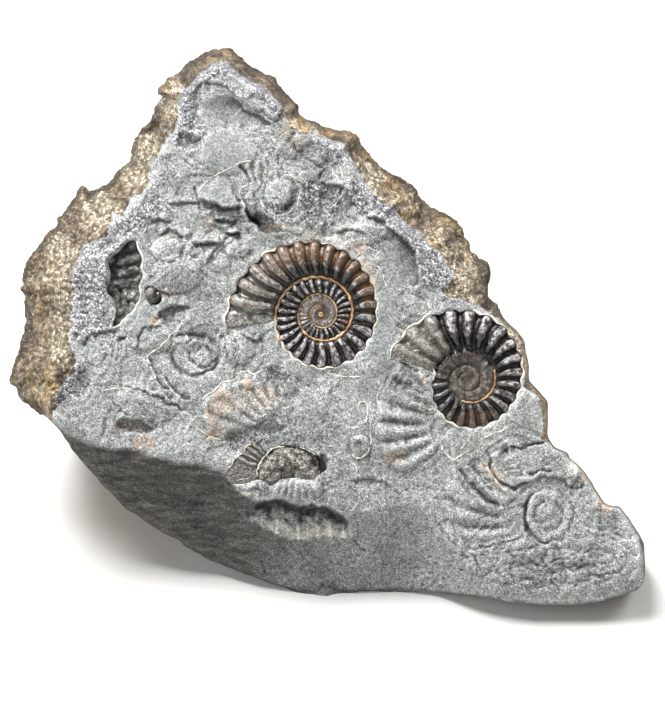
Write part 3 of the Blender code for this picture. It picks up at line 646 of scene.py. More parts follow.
@dataclass(frozen=True)
class Limestone:
    """Fine-grained grey limestone, cleaned by air tool, with a brown weathered rind.

    The cleaned face is matt and full of fine light and dark grains. Where the tool stopped, crystals make it
    sparkle in lavender and black specks, with painted white glints. The rind is brown and crusted with cream.
    The finish also paints highlight on the relief's ridges and shade in its hollows and along its ledges. The
    sizes are those of the patterns, and the grains are drawn a little coarser than real ones, so that they show
    in the render.
    """

    grey_dark: str = "#4a4c4c"
    grey: str = "#8b8e8c"
    grey_light: str = "#cdcecb"
    grain_mm: float = 0.18
    crystal_mm: float = 0.24
    glint_mm: float = 0.36
    blotch_mm: float = 1.6
    cloud_mm: float = 5.0
    streak_mm: float = 1.0
    crumb_mm: float = 0.42
    crust_mm: float = 0.9
    pit_mm: float = 0.7
    rust_mm: float = 3.1
    lump_mm: float = 0.65
    ground_mm: float = 3.5
    tint_mm: float = 2.1
    roughness: float = 0.82
    ior: float = 1.5

    def make(self) -> bpy.types.Material:
        """Build the material.

        Returns:
            A material that reads the stone's painted zones.
        """
        s = Shades("air_cleaned_limestone")
        grain = s.noise(self.grain_mm, 2.0, 0.7)
        blotch = s.noise(self.blotch_mm, 3.0, 0.6)
        crystal = s.speckle(self.crystal_mm)
        sugar_share = s.ragged(Zone.SUGAR, blotch, 1.1, 0.35, 0.80)
        rind_share = s.ragged(Zone.RIND, blotch, 0.8, 0.40, 0.62)
        base = self.cleaned(s, grain, blotch)
        base = s.mix(s.times(sugar_share, 0.75), base, self.sugar(s, crystal))
        base = s.mix(s.mark(Zone.WALL), base, self.wall(s, grain))
        # Near black where the dark zone is set, which includes painted shade under the ribbed hollow's lip.
        base = s.mix(s.mark(Zone.DARK), base, s.ramp(grain, [(0.3, "#17130f"), (0.7, "#3b322a")]))
        base = s.mix(rind_share, base, self.rind(s, grain))
        base = s.scaled(base, self.shade(s, crystal))
        # Painted glints: small white specks on the crystal areas.
        glint = s.times(s.edge(s.cells(self.glint_mm), 0.20, 0.08), sugar_share)
        base = s.mix(s.times(glint, 0.45), base, linear("#e6e6e6"))
        relief = s.bump(grain, 0.8, 0.12)
        relief = s.bump(s.times(crystal, sugar_share), 0.5, 0.16, relief)
        relief = s.bump(s.times(s.noise(self.lump_mm, 4.0, 0.75), rind_share), 0.9, 0.8, relief)
        rough = s.math("SUBTRACT", self.roughness, s.times(sugar_share, 0.25))
        return s.finish({"Base Color": base, "Roughness": rough, "Normal": relief, "IOR": self.ior})

    def cleaned(self, s: Shades, grain: Socket, blotch: Socket) -> Socket:
        """Colour of the cleaned face: grey, with slick patches, pale edges and tan stains of shell."""
        cloud = s.noise(self.cloud_mm, 4.0, 0.6, 0.4)
        base = s.ramp(s.weighed(grain, 0.80, cloud, 0.20),
                      [(0.37, self.grey_dark), (0.49, self.grey), (0.61, self.grey_light)])
        slick = s.ramp(s.weighed(grain, 0.7, cloud, 0.3), [(0.36, "#6b6f71"), (0.62, "#a8aba9")])
        base = s.mix(s.mark(Zone.SMOOTH), base, slick)
        pale = s.ramp(grain, [(0.3, "#8f8c84"), (0.6, "#d9d5cb")])
        # Paler where the pale zone is set, which includes painted light on the ribbed hollow's foot.
        base = s.mix(s.ragged(Zone.PALE, blotch, 0.9, 0.35, 0.75), base, pale)
        tan = s.ramp(grain, [(0.36, "#6b5f54"), (0.5, "#a39281"), (0.62, "#d8c9b6")])
        return s.mix(s.times(s.ragged(Zone.TAN, blotch, 1.0, 0.15, 1.0), 0.75), base, tan)

    def sugar(self, s: Shades, crystal: Socket) -> Socket:
        """Colour of the crystal areas: specks from near black to pale lavender."""
        fine = s.noise(self.grain_mm * 0.55, 1.0, 0.5)
        return s.ramp(s.weighed(crystal, 0.6, fine, 0.4),
                      [(0.2, "#37353a"), (0.42, "#67656b"), (0.60, "#939196"), (0.80, "#cfcdd0")])

    def wall(self, s: Shades, grain: Socket) -> Socket:
        """Colour of the broken wall: dark, with fine level streaks."""
        place = s.add("TexCoord", out="Object")
        level = s.add("Mapping", {0: place, "Scale": (0.22, 0.4, 1.0)})
        streaks = s.noise(self.streak_mm, 4.0, 0.65, 0.3, level)
        return s.ramp(s.weighed(grain, 0.6, streaks, 0.4),
                      [(0.38, "#21201e"), (0.5, "#3a3936"), (0.62, "#6c6a65")])

    def shade(self, s: Shades, crystal: Socket) -> Socket:
        """One factor for painted ridge highlight, painted hollow shade, fine specks, painted shadow and darker
        patches.
        """
        # Painted highlight and painted shade: the relief's ridges are made lighter and its hollows darker.
        ridge = s.times(s.edge(s.mark(Zone.CAVITY), 0.1, 1.0), 0.28)
        hollow = s.times(s.edge(s.mark(Zone.CAVITY), 0.0, -1.0), 0.48)
        factor = s.math("SUBTRACT", s.math("ADD", 1.0, ridge), hollow)
        factor = s.times(factor, s.math("ADD", 0.51, s.times(crystal, 0.88)))
        return s.times(factor, s.math("SUBTRACT", 1.0, s.times(s.mark(Zone.SHADOW_AND_DARKENING), 0.6)))

    def rind(self, s: Shades, grain: Socket) -> Socket:
        """Colour of the weathered rind: brown ground, cream crust, dark pits, rust and loose crumbs."""
        ground = s.ramp(s.weighed(s.noise(self.ground_mm, 4.0, 0.7, 0.6), 0.5, grain, 0.5),
                        [(0.36, "#332a21"), (0.46, "#685a4a"), (0.55, "#8b7b66"), (0.64, "#b0a188")])
        creamy = s.mark(Zone.CREAM)
        ground = s.mix(s.times(creamy, 0.32), ground, linear("#c3b79f"))
        crust = s.noise(self.crust_mm, 5.0, 0.75, 0.5)
        raised = s.math("ADD", crust, s.times(s.mark(Zone.CAVITY), 0.07))
        cream_share = s.times(s.edge(raised, 0.54, 0.61), s.math("ADD", creamy, 0.25), True)
        cream = s.ramp(grain, [(0.36, "#ac9c7c"), (0.5, "#d8ccb0"), (0.62, "#f6f1e4")])
        colour = s.mix(cream_share, ground, cream)
        pits = s.edge(s.noise(self.pit_mm, 3.0, 0.65, 0.4), 0.44, 0.34)
        colour = s.mix(s.times(pits, 0.75), colour, linear("#3a3026"))
        rusty = s.edge(s.noise(self.rust_mm, 3.0, 0.6), 0.45, 0.66)
        rusty = s.times(rusty, s.math("ADD", s.mark(Zone.RUST), 0.2), True)
        rust = s.ramp(grain, [(0.36, "#8a6f4b"), (0.62, "#d4b27e")])
        colour = s.mix(s.times(rusty, 0.8), colour, rust)
        crumb = s.speckle(self.crumb_mm)
        light = s.times(s.edge(crumb, 0.80, 0.84), s.edge(crust, 0.44, 0.52))
        light = s.times(light, s.math("ADD", s.times(creamy, 0.55), 0.22), True)
        colour = s.mix(light, colour, linear("#f3ebd8"))
        colour = s.mix(s.times(s.edge(crumb, 0.16, 0.10), 0.5), colour, linear("#43372a"))
        return s.scaled(colour, s.math("ADD", 0.50, s.times(s.noise(self.tint_mm, 3.0, 0.6), 0.90)))


@dataclass(frozen=True)
class FossilShell:
    """Shell turned to calcite, polished: dark brown to black, with a glassy skin that catches the light.

    The colours are those of the grooves, the crests, the amber and the olive parts, and a painted highlight on the
    crests. The crests' colour is partly the shell's own tone and partly painted sheen.
    """

    name: str
    groove: str
    crest: str
    amber: str
    olive: str
    painted_highlight: str
    roughness: float = 0.24
    coat: float = 0.5
    growth_lines: float = 4.0
    grain_mm: float = 0.22
    speck_mm: float = 0.24
    torn_mm: float = 0.35
    mottle_mm: float = 0.9
    ior: float = 1.6

    def make(self) -> bpy.types.Material:
        """Build the material.

        Returns:
            A material that reads the shell's painted tones.
        """
        s = Shades(self.name)
        fine = s.noise(self.grain_mm, 2.0, 0.6)
        mottled = s.noise(self.mottle_mm, 4.0, 0.65, 0.3)
        lines = s.math("SINE", s.times(s.mark(Tone.BEAT), 2.0 * math.pi * self.growth_lines))
        dull = s.mark(Tone.DULL)
        base = s.scaled(self.polished(s, mottled), s.math("ADD", 1.06, s.times(lines, 0.20)))
        matt = s.weighed(s.speckle(self.speck_mm), 0.5, fine, 0.5)
        base = s.mix(dull, base, s.ramp(matt, [(0.30, "#3a3732"), (0.50, "#7e7b74"), (0.72, "#c4c0b7")]))
        # Painted shade: near black where the deep tone is set.
        base = s.mix(s.times(s.mark(Tone.DEEP), 0.9), base, linear("#080605"))
        rough = s.math("ADD", self.roughness, s.times(dull, 0.6), True)
        rough = s.math("ADD", rough, s.swing(mottled, 0.25), True)
        relief = s.bump(fine, 0.35, 0.06)
        relief = s.bump(mottled, 1.0, 0.34, relief)
        relief = s.bump(lines, 0.6, 0.035, relief)
        relief = s.bump(s.times(s.noise(self.torn_mm, 3.0, 0.7), dull), 0.8, 0.25, relief)
        return s.finish({"Base Color": base, "Roughness": rough, "Normal": relief, "IOR": self.ior,
                         "Coat Weight": self.coat, "Coat Roughness": 0.08})

    def polished(self, s: Shades, mottled: Socket) -> Socket:
        """Colour of the polished shell: dark grooves, crests partly painted as sheen, amber, olive and a painted
        highlight.
        """
        painted = s.mark(Tone.CREST)
        uneven = s.swing(mottled, 1.2)
        # Crests lighter than grooves: partly the shell's own tone, partly painted sheen.
        crest = s.edge(s.math("ADD", painted, uneven), 0.25, 0.95)
        dark = s.mix(s.edge(mottled, 0.35, 0.7), linear(self.groove), linear(self.crest))
        base = s.mix(crest, linear(self.groove), dark)
        amber = s.times(s.mark(Tone.AMBER), s.edge(mottled, 0.15, 0.5))
        base = s.mix(amber, base, linear(self.amber))
        olive = s.mark(Tone.OLIVE)
        base = s.mix(s.times(olive, s.math("ADD", s.times(crest, 0.85), 0.1)), base, linear(self.olive))
        # Painted highlight: pale streaks along the highest crests, fewer on amber and olive.
        painted_highlight = s.edge(s.math("ADD", painted, s.times(uneven, 1.8)), 0.96, 1.22)
        plain = s.math("SUBTRACT", 1.0, s.times(s.math("MAXIMUM", amber, olive), 0.75))
        return s.mix(s.times(s.times(painted_highlight, 0.55), plain), base, linear(self.painted_highlight))


@dataclass(frozen=True)
class CalciteEdge:
    """Cut edge of shell: thin calcite, slightly waxy, so it shows as a soft white or golden line."""

    name: str
    light: str
    deep: str
    cloud_mm: float = 1.3
    grain_mm: float = 0.2

    def make(self) -> bpy.types.Material:
        """Build the material."""
        s = Shades(self.name)
        colour = s.ramp(s.noise(self.cloud_mm, 3.0, 0.6), [(0.35, self.deep), (0.6, self.light)])
        relief = s.bump(s.noise(self.grain_mm, 2.0, 0.5), 0.3, 0.05)
        return s.finish({"Base Color": colour, "Roughness": 0.5, "Normal": relief, "IOR": 1.5})


@dataclass(frozen=True)
class PaleFloor:
    """Plain matt board of a light photographic sweep, which gives an even, shineless ground."""

    low: str = "#d4d3d0"
    high: str = "#d9d8d5"
    cloud_mm: float = 60.0

    def make(self) -> bpy.types.Material:
        """Build the material."""
        s = Shades("matt_board")
        colour = s.ramp(s.noise(self.cloud_mm, 2.0, 0.5), [(0.3, self.low), (0.7, self.high)])
        return s.finish({"Base Color": colour, "Roughness": 0.9})


def add_piece(name: str, places: Points, faces: Sequence[Sequence[int]], material: bpy.types.Material,
              marks: Optional[dict[Zone | Tone, Points]] = None) -> bpy.types.Object:
    """Make a mesh object at the origin, with its place in its mesh.

    Args:
        name: Name of the piece.
        places: Vertices in metres.
        faces: Faces by vertex number.
        material: Its finish.
        marks: Values per vertex, by zone or tone.

    Returns:
        The new object.
    """
    mesh = bpy.data.meshes.new(name)
    mesh.from_pydata(places.tolist(), [], [tuple(f) for f in faces])
    mesh.validate()
    for key, values in (marks or {}).items():
        layer = mesh.attributes.new(key.value, "FLOAT", "POINT")
        layer.data.foreach_set("value", np.asarray(values, dtype=np.float32))
    mesh.materials.append(material)
    item = bpy.data.objects.new(name, mesh)
    bpy.context.scene.collection.objects.link(item)
    body = bmesh.new()
    body.from_mesh(mesh)
    bmesh.ops.recalc_face_normals(body, faces=body.faces)
    body.to_mesh(mesh)
    body.free()
    mesh.shade_smooth()
    log.info("%s: %d vertices, %d faces", name, len(mesh.vertices), len(mesh.polygons))
    return item


@dataclass(frozen=True)
class CoiledShell:
    """One coiled ribbed shell seen from its side, with the cut edges of its whorls.

    Attributes:
        name: Name of the piece.
        node: CAD node that it replaces.
        slot: Slot of its finish; not used.
        hub: Reading of the coil's centre.
        aperture: Angle of the shell's mouth, from which turns are counted inwards.
        radii: Radius of the outer edge at each quarter turn, in millimetres.
        ribs: Ribs in a whole turn, at each quarter turn.
        growth: How much the radius shrinks in each turn past the last of the radii.
        turns: Number of turns modelled.
        samples: Rows of the mesh in each turn.
        columns: Columns of the mesh across a whorl.
        seam_slope: Height of the seams for each millimetre of radius.
        crest_slope: Height of the whorls' backs for each millimetre of radius.
        hub_depth: How far the hub lies under the face.
        edge_depth: How far the outer edge lies under the face.
        rib_share: Height of the ribs as a share of the whorl's width.
        rib_sweep: How far the ribs bow along the coil.
        rib_power: How narrow the grooves between the ribs are.
        rib_fade: Turn from which the ribs fade.
        fade_span: Turns over which they fade.
        low_ribs: How much lower the ribs of the body chamber are.
        scallop: Wave of the outer edge, a share of its radius.
        seam_scallop: Wave of the seams further in.
        skirt: How far the sides reach into the stone.
        inner_bend: How full the whorl's back is on its inner half.
        outer_bend: The same on its outer half.
        end_fade: Turns over which the mouth slopes down.
        end_height: Height of the mouth's edge.
        eye: Radius of the ring at the hub, none where 0.
    """

    name: str
    node: str
    slot: str
    hub: tuple[float, float]
    aperture: float
    radii: tuple[float, ...]
    ribs: tuple[float, ...]
    growth: float = 2.0
    turns: float = 3.3
    samples: int = 420
    columns: int = 22
    seam_slope: float = 0.03
    crest_slope: float = 0.18
    hub_depth: float = 1.1
    edge_depth: float = 0.55
    rib_share: float = 0.19
    rib_sweep: float = 0.07
    rib_power: float = 3.4
    rib_fade: float = 1.75
    fade_span: float = 0.35
    low_ribs: float = 0.0
    scallop: float = 0.02
    seam_scallop: float = 0.011
    skirt: float = 1.6
    inner_bend: float = 2.6
    outer_bend: float = 1.9
    end_fade: float = 0.045
    end_height: float = 0.1
    eye: float = 0.30

    def radius(self, turn: Points) -> Points:
        """Radius of the outer edge a number of turns in from the mouth, in millimetres."""
        keys = np.log(np.array(self.radii))
        extra = keys[-1] - math.log(self.growth) / 4.0 * np.arange(1, 40)
        keys = np.concatenate([keys[:1] * 2 - keys[1:2], keys, extra])
        place = np.clip(np.asarray(turn, dtype=float) * 4.0 + 1.0, 0.0, len(keys) - 3.0)
        index = np.clip(place.astype(int), 1, len(keys) - 3)
        t = place - index
        a, b, c, d = (keys[index + k] for k in (-1, 0, 1, 2))
        return np.exp(b + 0.5 * t * (c - a + t * (2 * a - 5 * b + 4 * c - d + t * (3 * (b - c) + d - a))))

    def beat(self, turn: Points) -> Points:
        """Number of ribs passed, at places along the coil."""
        grid = np.linspace(-0.5, 8.0, 3401)
        density = np.interp(grid * 4.0, np.arange(len(self.ribs)), self.ribs)
        phase = np.concatenate([[0.0], np.cumsum(0.5 * (density[1:] + density[:-1]) * np.diff(grid))])
        phase -= np.interp(0.0, grid, phase)
        return np.interp(turn, grid, phase)

    def rib_wave(self, turn: Points) -> Points:
        """Rib height from 0 in a groove to 1 on a crest, at places along the coil."""
        return 1.0 - np.abs(np.cos(math.pi * self.beat(turn))) ** self.rib_power

    def surface(self) -> tuple[Points, Points, dict[Tone, Points]]:
        """Rows of the coiled surface.

        Returns:
            Face points, their heights and their tones, as grids of rows by columns. Column 0 lies on the seam
            with the next whorl in, the last column on the whorl's own outer edge.
        """
        turn = np.arange(int(self.turns * self.samples) + 1)[:, None] / self.samples
        share = (np.linspace(0.0, 1.0, self.columns + 1) ** 0.9)[None, :]
        first = turn < 1.0
        outer = self.radius(turn)
        inner = self.radius(turn + 1.0)
        scallop = np.where(first, self.scallop, self.seam_scallop) * (self.rib_wave(turn) - 0.5) * 2.0
        radius = inner + (outer * (1.0 + scallop) - inner) * share
        lean = self.rib_sweep * (share - 0.5) ** 2 * 4.0 / np.maximum(self.ribs[0], 1.0)
        sway = self.rib_sweep * np.sin(math.pi * share) / 10.0
        wave = self.rib_wave(turn + sway + lean * 0.3)
        across = np.clip((share - 0.05) / 0.92, 0.0, 1.0)
        bend = np.where(across > 0.5, self.outer_bend, self.inner_bend)
        arch = (1.0 - np.abs(2.0 * across - 1.0) ** bend) ** (1.0 / bend)
        seam_in = self.seam_slope * inner - self.hub_depth
        seam_out = np.where(first, -self.edge_depth, self.seam_slope * outer - self.hub_depth)
        seam = seam_in * (1.0 - share) + seam_out * share
        crest = self.crest_slope * 0.5 * (outer + inner) - self.hub_depth
        band = smooth(share / 0.12) * smooth((1.0 - share) / 0.06)
        rib = self.rib_share * (outer - inner) * (wave - 0.55) * band
        rib = rib * (1.0 - 0.85 * smooth((turn - self.rib_fade) / self.fade_span))
        rib = rib * (1.0 - self.low_ribs * smooth((0.34 - turn) / 0.2))
        angle = self.aperture - 2.0 * math.pi * turn
        centre = READ.point(*self.hub)
        u = centre[0] + radius * np.cos(angle)
        v = centre[1] + radius * np.sin(angle)
        turns = np.broadcast_to(turn, u.shape)
        wear = self.wear(np.stack([u.ravel(), v.ravel()], axis=1), turns.ravel()).reshape(u.shape)
        end = smooth(turn / self.end_fade)
        height = (seam + (crest - seam) * arch + rib + wear * band) * end + self.end_height * (1.0 - end)
        tones = {Tone.CREST: wave * band * end, Tone.TURN: turns, Tone.SHARE: np.broadcast_to(share, u.shape),
                 Tone.BEAT: self.beat(turn + sway)}
        return np.stack([u, v], axis=2), height, tones

    def wear(self, flat: Points, turn: Points) -> Points:
        """Small unevenness of the shell's surface."""
        return 0.05 * lumps(flat, 1.0, 3.0) + 0.03 * lumps(flat, 0.5, 6.0)

    def outline(self) -> Points:
        """Closed outline of the shell on the face: one turn of its edge and the cut across its mouth."""
        flat, _, _ = self.surface()
        edge = flat[:self.samples + 1:2, -1]
        cut = flat[0, 1:-1:3]
        return counter_clockwise(np.concatenate([edge, cut]))

    def seam(self, start: float, end: float) -> tuple[Points, Points]:
        """Face points and heights along the seam between whorls, between two numbers of turns."""
        flat, height, _ = self.surface()
        rows = np.arange(int(start * self.samples), int(end * self.samples), 4)
        return flat[rows, -1], height[rows, -1]

    def tone(self, flat: Points, tones: dict[Tone, Points]) -> dict[Tone, Points]:
        """Painted tones of this shell. Each shell has its own colours."""
        raise NotImplementedError

    def build(self, finish: bpy.types.Material) -> bpy.types.Object:
        """Model the shell and put it in place of its CAD node.

        Each whorl shares its inner seam with the outer edge of the next whorl in. The innermost seam closes
        on a point at the hub, and a skirt and a floor close the shell inside the stone.
        """
        flat, height, tones = self.surface()
        rows, columns = height.shape
        last_turn = np.arange(rows - self.samples, rows)
        number = np.empty((rows, columns), dtype=int)
        number[:, 1:] = np.arange(rows * (columns - 1)).reshape(rows, columns - 1)
        number[:rows - self.samples, 0] = number[self.samples:, -1]
        number[last_turn, 0] = rows * (columns - 1) + np.arange(self.samples)
        faces = []
        for near, far in zip(number[:-1].tolist(), number[1:].tolist()):
            faces += [(near[i], near[i + 1], far[i + 1], far[i]) for i in range(columns - 1)]
        eye = int(number.max()) + 1
        loop = number[last_turn, 0].tolist() + number[-1, 1:].tolist()
        faces += [(a, b, eye) for a, b in zip(loop, loop[1:] + loop[:1])]
        rim = number[:self.samples + 1, -1].tolist() + number[0, 1:-1].tolist()
        size = len(rim)
        below = eye + 1
        faces += [(rim[i], rim[(i + 1) % size], below + (i + 1) % size, below + i) for i in range(size)]
        faces += [(below + i, below + (i + 1) % size, below + size) for i in range(size)]

        def in_order(grid: Points, middle: Points, under: Points) -> Points:
            """Values of a grid in the order of the numbers, then those of the hub and the floor."""
            top = np.concatenate([grid[:, 1:].reshape(-1, *grid.shape[2:]), grid[last_turn, 0], middle])
            return np.concatenate([top, top[rim], under])

        centre = np.array([READ.point(*self.hub)])
        all_flat = in_order(flat, centre, centre)
        all_height = in_order(height, [float(height[last_turn, 0].mean()) + 0.1], [0.0])
        all_height[below:] = -self.edge_depth - self.skirt
        all_tones = {key: in_order(values, [0.5], [0.0]) for key, values in tones.items()}
        piece = add_piece(self.name, READ.world(all_flat, all_height), faces, finish,
                          self.tone(all_flat, all_tones))
        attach(piece, "root")
        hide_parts(self.node)
        return piece


@dataclass(frozen=True)
class CentreShell(CoiledShell):
    """The large glossy shell: olive-brown body chamber, amber top and black inner whorls."""

    name: str = "centre_shell"
    node: str = "ammonite_centre"
    slot: str = "dark_shell"
    hub: tuple[float, float] = (321.0, 314.5)
    aperture: float = math.radians(188.0)
    radii: tuple[float, ...] = (17.6, 13.5, 10.3, 9.8, 8.4, 6.9, 5.8, 4.8, 4.2, 3.75, 2.9)
    ribs: tuple[float, ...] = (30, 28, 23, 20, 30, 24, 28, 24, 30, 26, 24, 22)
    low_ribs: float = 0.5

    def tone(self, flat: Points, tones: dict[Tone, Points]) -> dict[Tone, Points]:
        """Painted tones: olive left, amber top, a tan patch in the second whorl, and painted shade on the inner wall.
        """
        turn = tones[Tone.TURN]
        share = tones[Tone.SHARE]
        olive = smooth((0.24 - turn) / 0.16) * (0.2 + 0.42 * smooth((share - 0.15) / 0.4))
        amber = span(turn, 0.08, 0.12, 0.57, 0.14) * smooth((share - 0.2) / 0.5)
        inner = smooth((turn - 1.8) / 0.3)
        tan_patch = np.maximum(Blot(345, 321, 7, 9, 0.6).paint(flat), 0.5 * inner)
        calm = smooth((turn - 1.9) / 0.2)
        back = np.sin(math.pi * np.clip(share, 0.0, 1.0)) ** 1.5
        crest = tones[Tone.CREST] * (1.0 - 0.75 * calm) + 0.85 * calm * back
        # Painted sheen: crests lighter on the lower part of the outer whorl.
        crest = crest * (1.0 + 0.12 * np.where(turn < 1.0, smooth((turn - 0.5) / 0.2), 0.0))
        # Painted shade: the outer whorl's inner wall, which faces down and away from the light, over the top.
        deep = smooth((0.40 - share) / 0.22) * span(turn, 0.1, 0.12, 0.66, 0.12)
        foot = 0.95 * smooth((0.046 + 0.04 * lumps(flat, 1.2, 2.0) - turn) / 0.05)
        return {Tone.CREST: crest * (1.0 - 0.95 * deep), Tone.AMBER: np.maximum(amber * 0.9, tan_patch),
                Tone.OLIVE: olive * (1.0 - 0.6 * foot), Tone.DULL: np.maximum(inner * (0.15 + 0.25 * crest),
                                                                              foot),
                Tone.DEEP: deep, Tone.BEAT: tones[Tone.BEAT]}


@dataclass(frozen=True)
class RightShell(CoiledShell):
    """The second shell: rough olive-grey body chamber, black ribs and a brown middle."""

    name: str = "right_shell"
    node: str = "ammonite_right"
    slot: str = "olive_shell"
    hub: tuple[float, float] = (467.5, 380.0)
    aperture: float = math.radians(165.0)
    radii: tuple[float, ...] = (14.9, 12.3, 9.6, 8.5, 6.2, 5.6, 4.9, 3.9, 3.2, 2.7, 2.3)
    ribs: tuple[float, ...] = (20, 22, 24, 22, 18, 20, 22, 22, 20, 20, 20)
    rib_fade: float = 0.97
    fade_span: float = 0.08
    eye: float = 0.0
    chamber_end: float = 0.145

    def wear(self, flat: Points, turn: Points) -> Points:
        """Unevenness of the surface: the body chamber is torn, the rest is smooth."""
        chamber = smooth((self.chamber_end - turn) / 0.07)
        torn = 0.28 * lumps(flat, 1.4, 8.0) + 0.22 * (chips(flat, 1.3, 5.0) - 0.4)
        return super().wear(flat, turn) + chamber * torn

    def tone(self, flat: Points, tones: dict[Tone, Points]) -> dict[Tone, Points]:
        """Painted tones: dull grey body chamber, black ribs, a flecked brown middle with rings, and painted shade."""
        turn = tones[Tone.TURN]
        share = tones[Tone.SHARE]
        chamber = smooth((self.chamber_end - turn + 0.02 * lumps(flat, 1.5, 9.0)) / 0.06)
        middle = smooth((turn - 1.25) / 0.2)
        calm = smooth((turn - 0.98) / 0.06)
        rings = (0.5 + 0.5 * np.cos(2.0 * math.pi * share * 3.0)) * middle
        flecks = smooth(0.5 + 1.7 * lumps(flat, 0.9, 19.0))
        band = Streak(((450, 362), (458, 357), (470, 356), (482, 361)), 6).paint(flat)
        foot = Blot(474, 418, 22, 10, 0.5, 10).paint(flat)
        brown = 0.95 * middle * (0.3 + 0.7 * rings) * (0.4 + 0.6 * flecks)
        # Painted shade on the outer whorl's inner wall, then the black of the inner whorls.
        deep = smooth((0.42 - share) / 0.2) * span(turn, 0.1, 0.08, 0.5, 0.12)
        deep = np.maximum(deep, 0.75 * calm * (1.0 - flecks) * (1.0 - 0.45 * middle))
        crest = tones[Tone.CREST] * (1.0 - 0.9 * deep) * (1.0 - 0.85 * calm)
        crest = crest + calm * (0.12 + 0.55 * flecks * smooth(share * 2.0))
        far = np.where(turn < 1.0, smooth((turn - 0.52) / 0.1), 0.0)
        crest = crest * (1.0 - 0.42 * far) * (1.0 - 0.8 * band)
        crest = crest * (1.0 + 0.06 * span(turn, 0.12, 0.06, 0.40, 0.1)) * (1.0 - 0.5 * middle)
        return {Tone.CREST: crest + 0.55 * rings * flecks,
                Tone.AMBER: np.maximum(np.maximum(brown, 0.4 * band), foot),
                Tone.OLIVE: np.maximum(chamber * 0.7, 0.3 * rings * flecks),
                Tone.DULL: 0.5 * chamber + 0.12 * middle,
                Tone.DEEP: deep, Tone.BEAT: tones[Tone.BEAT]}


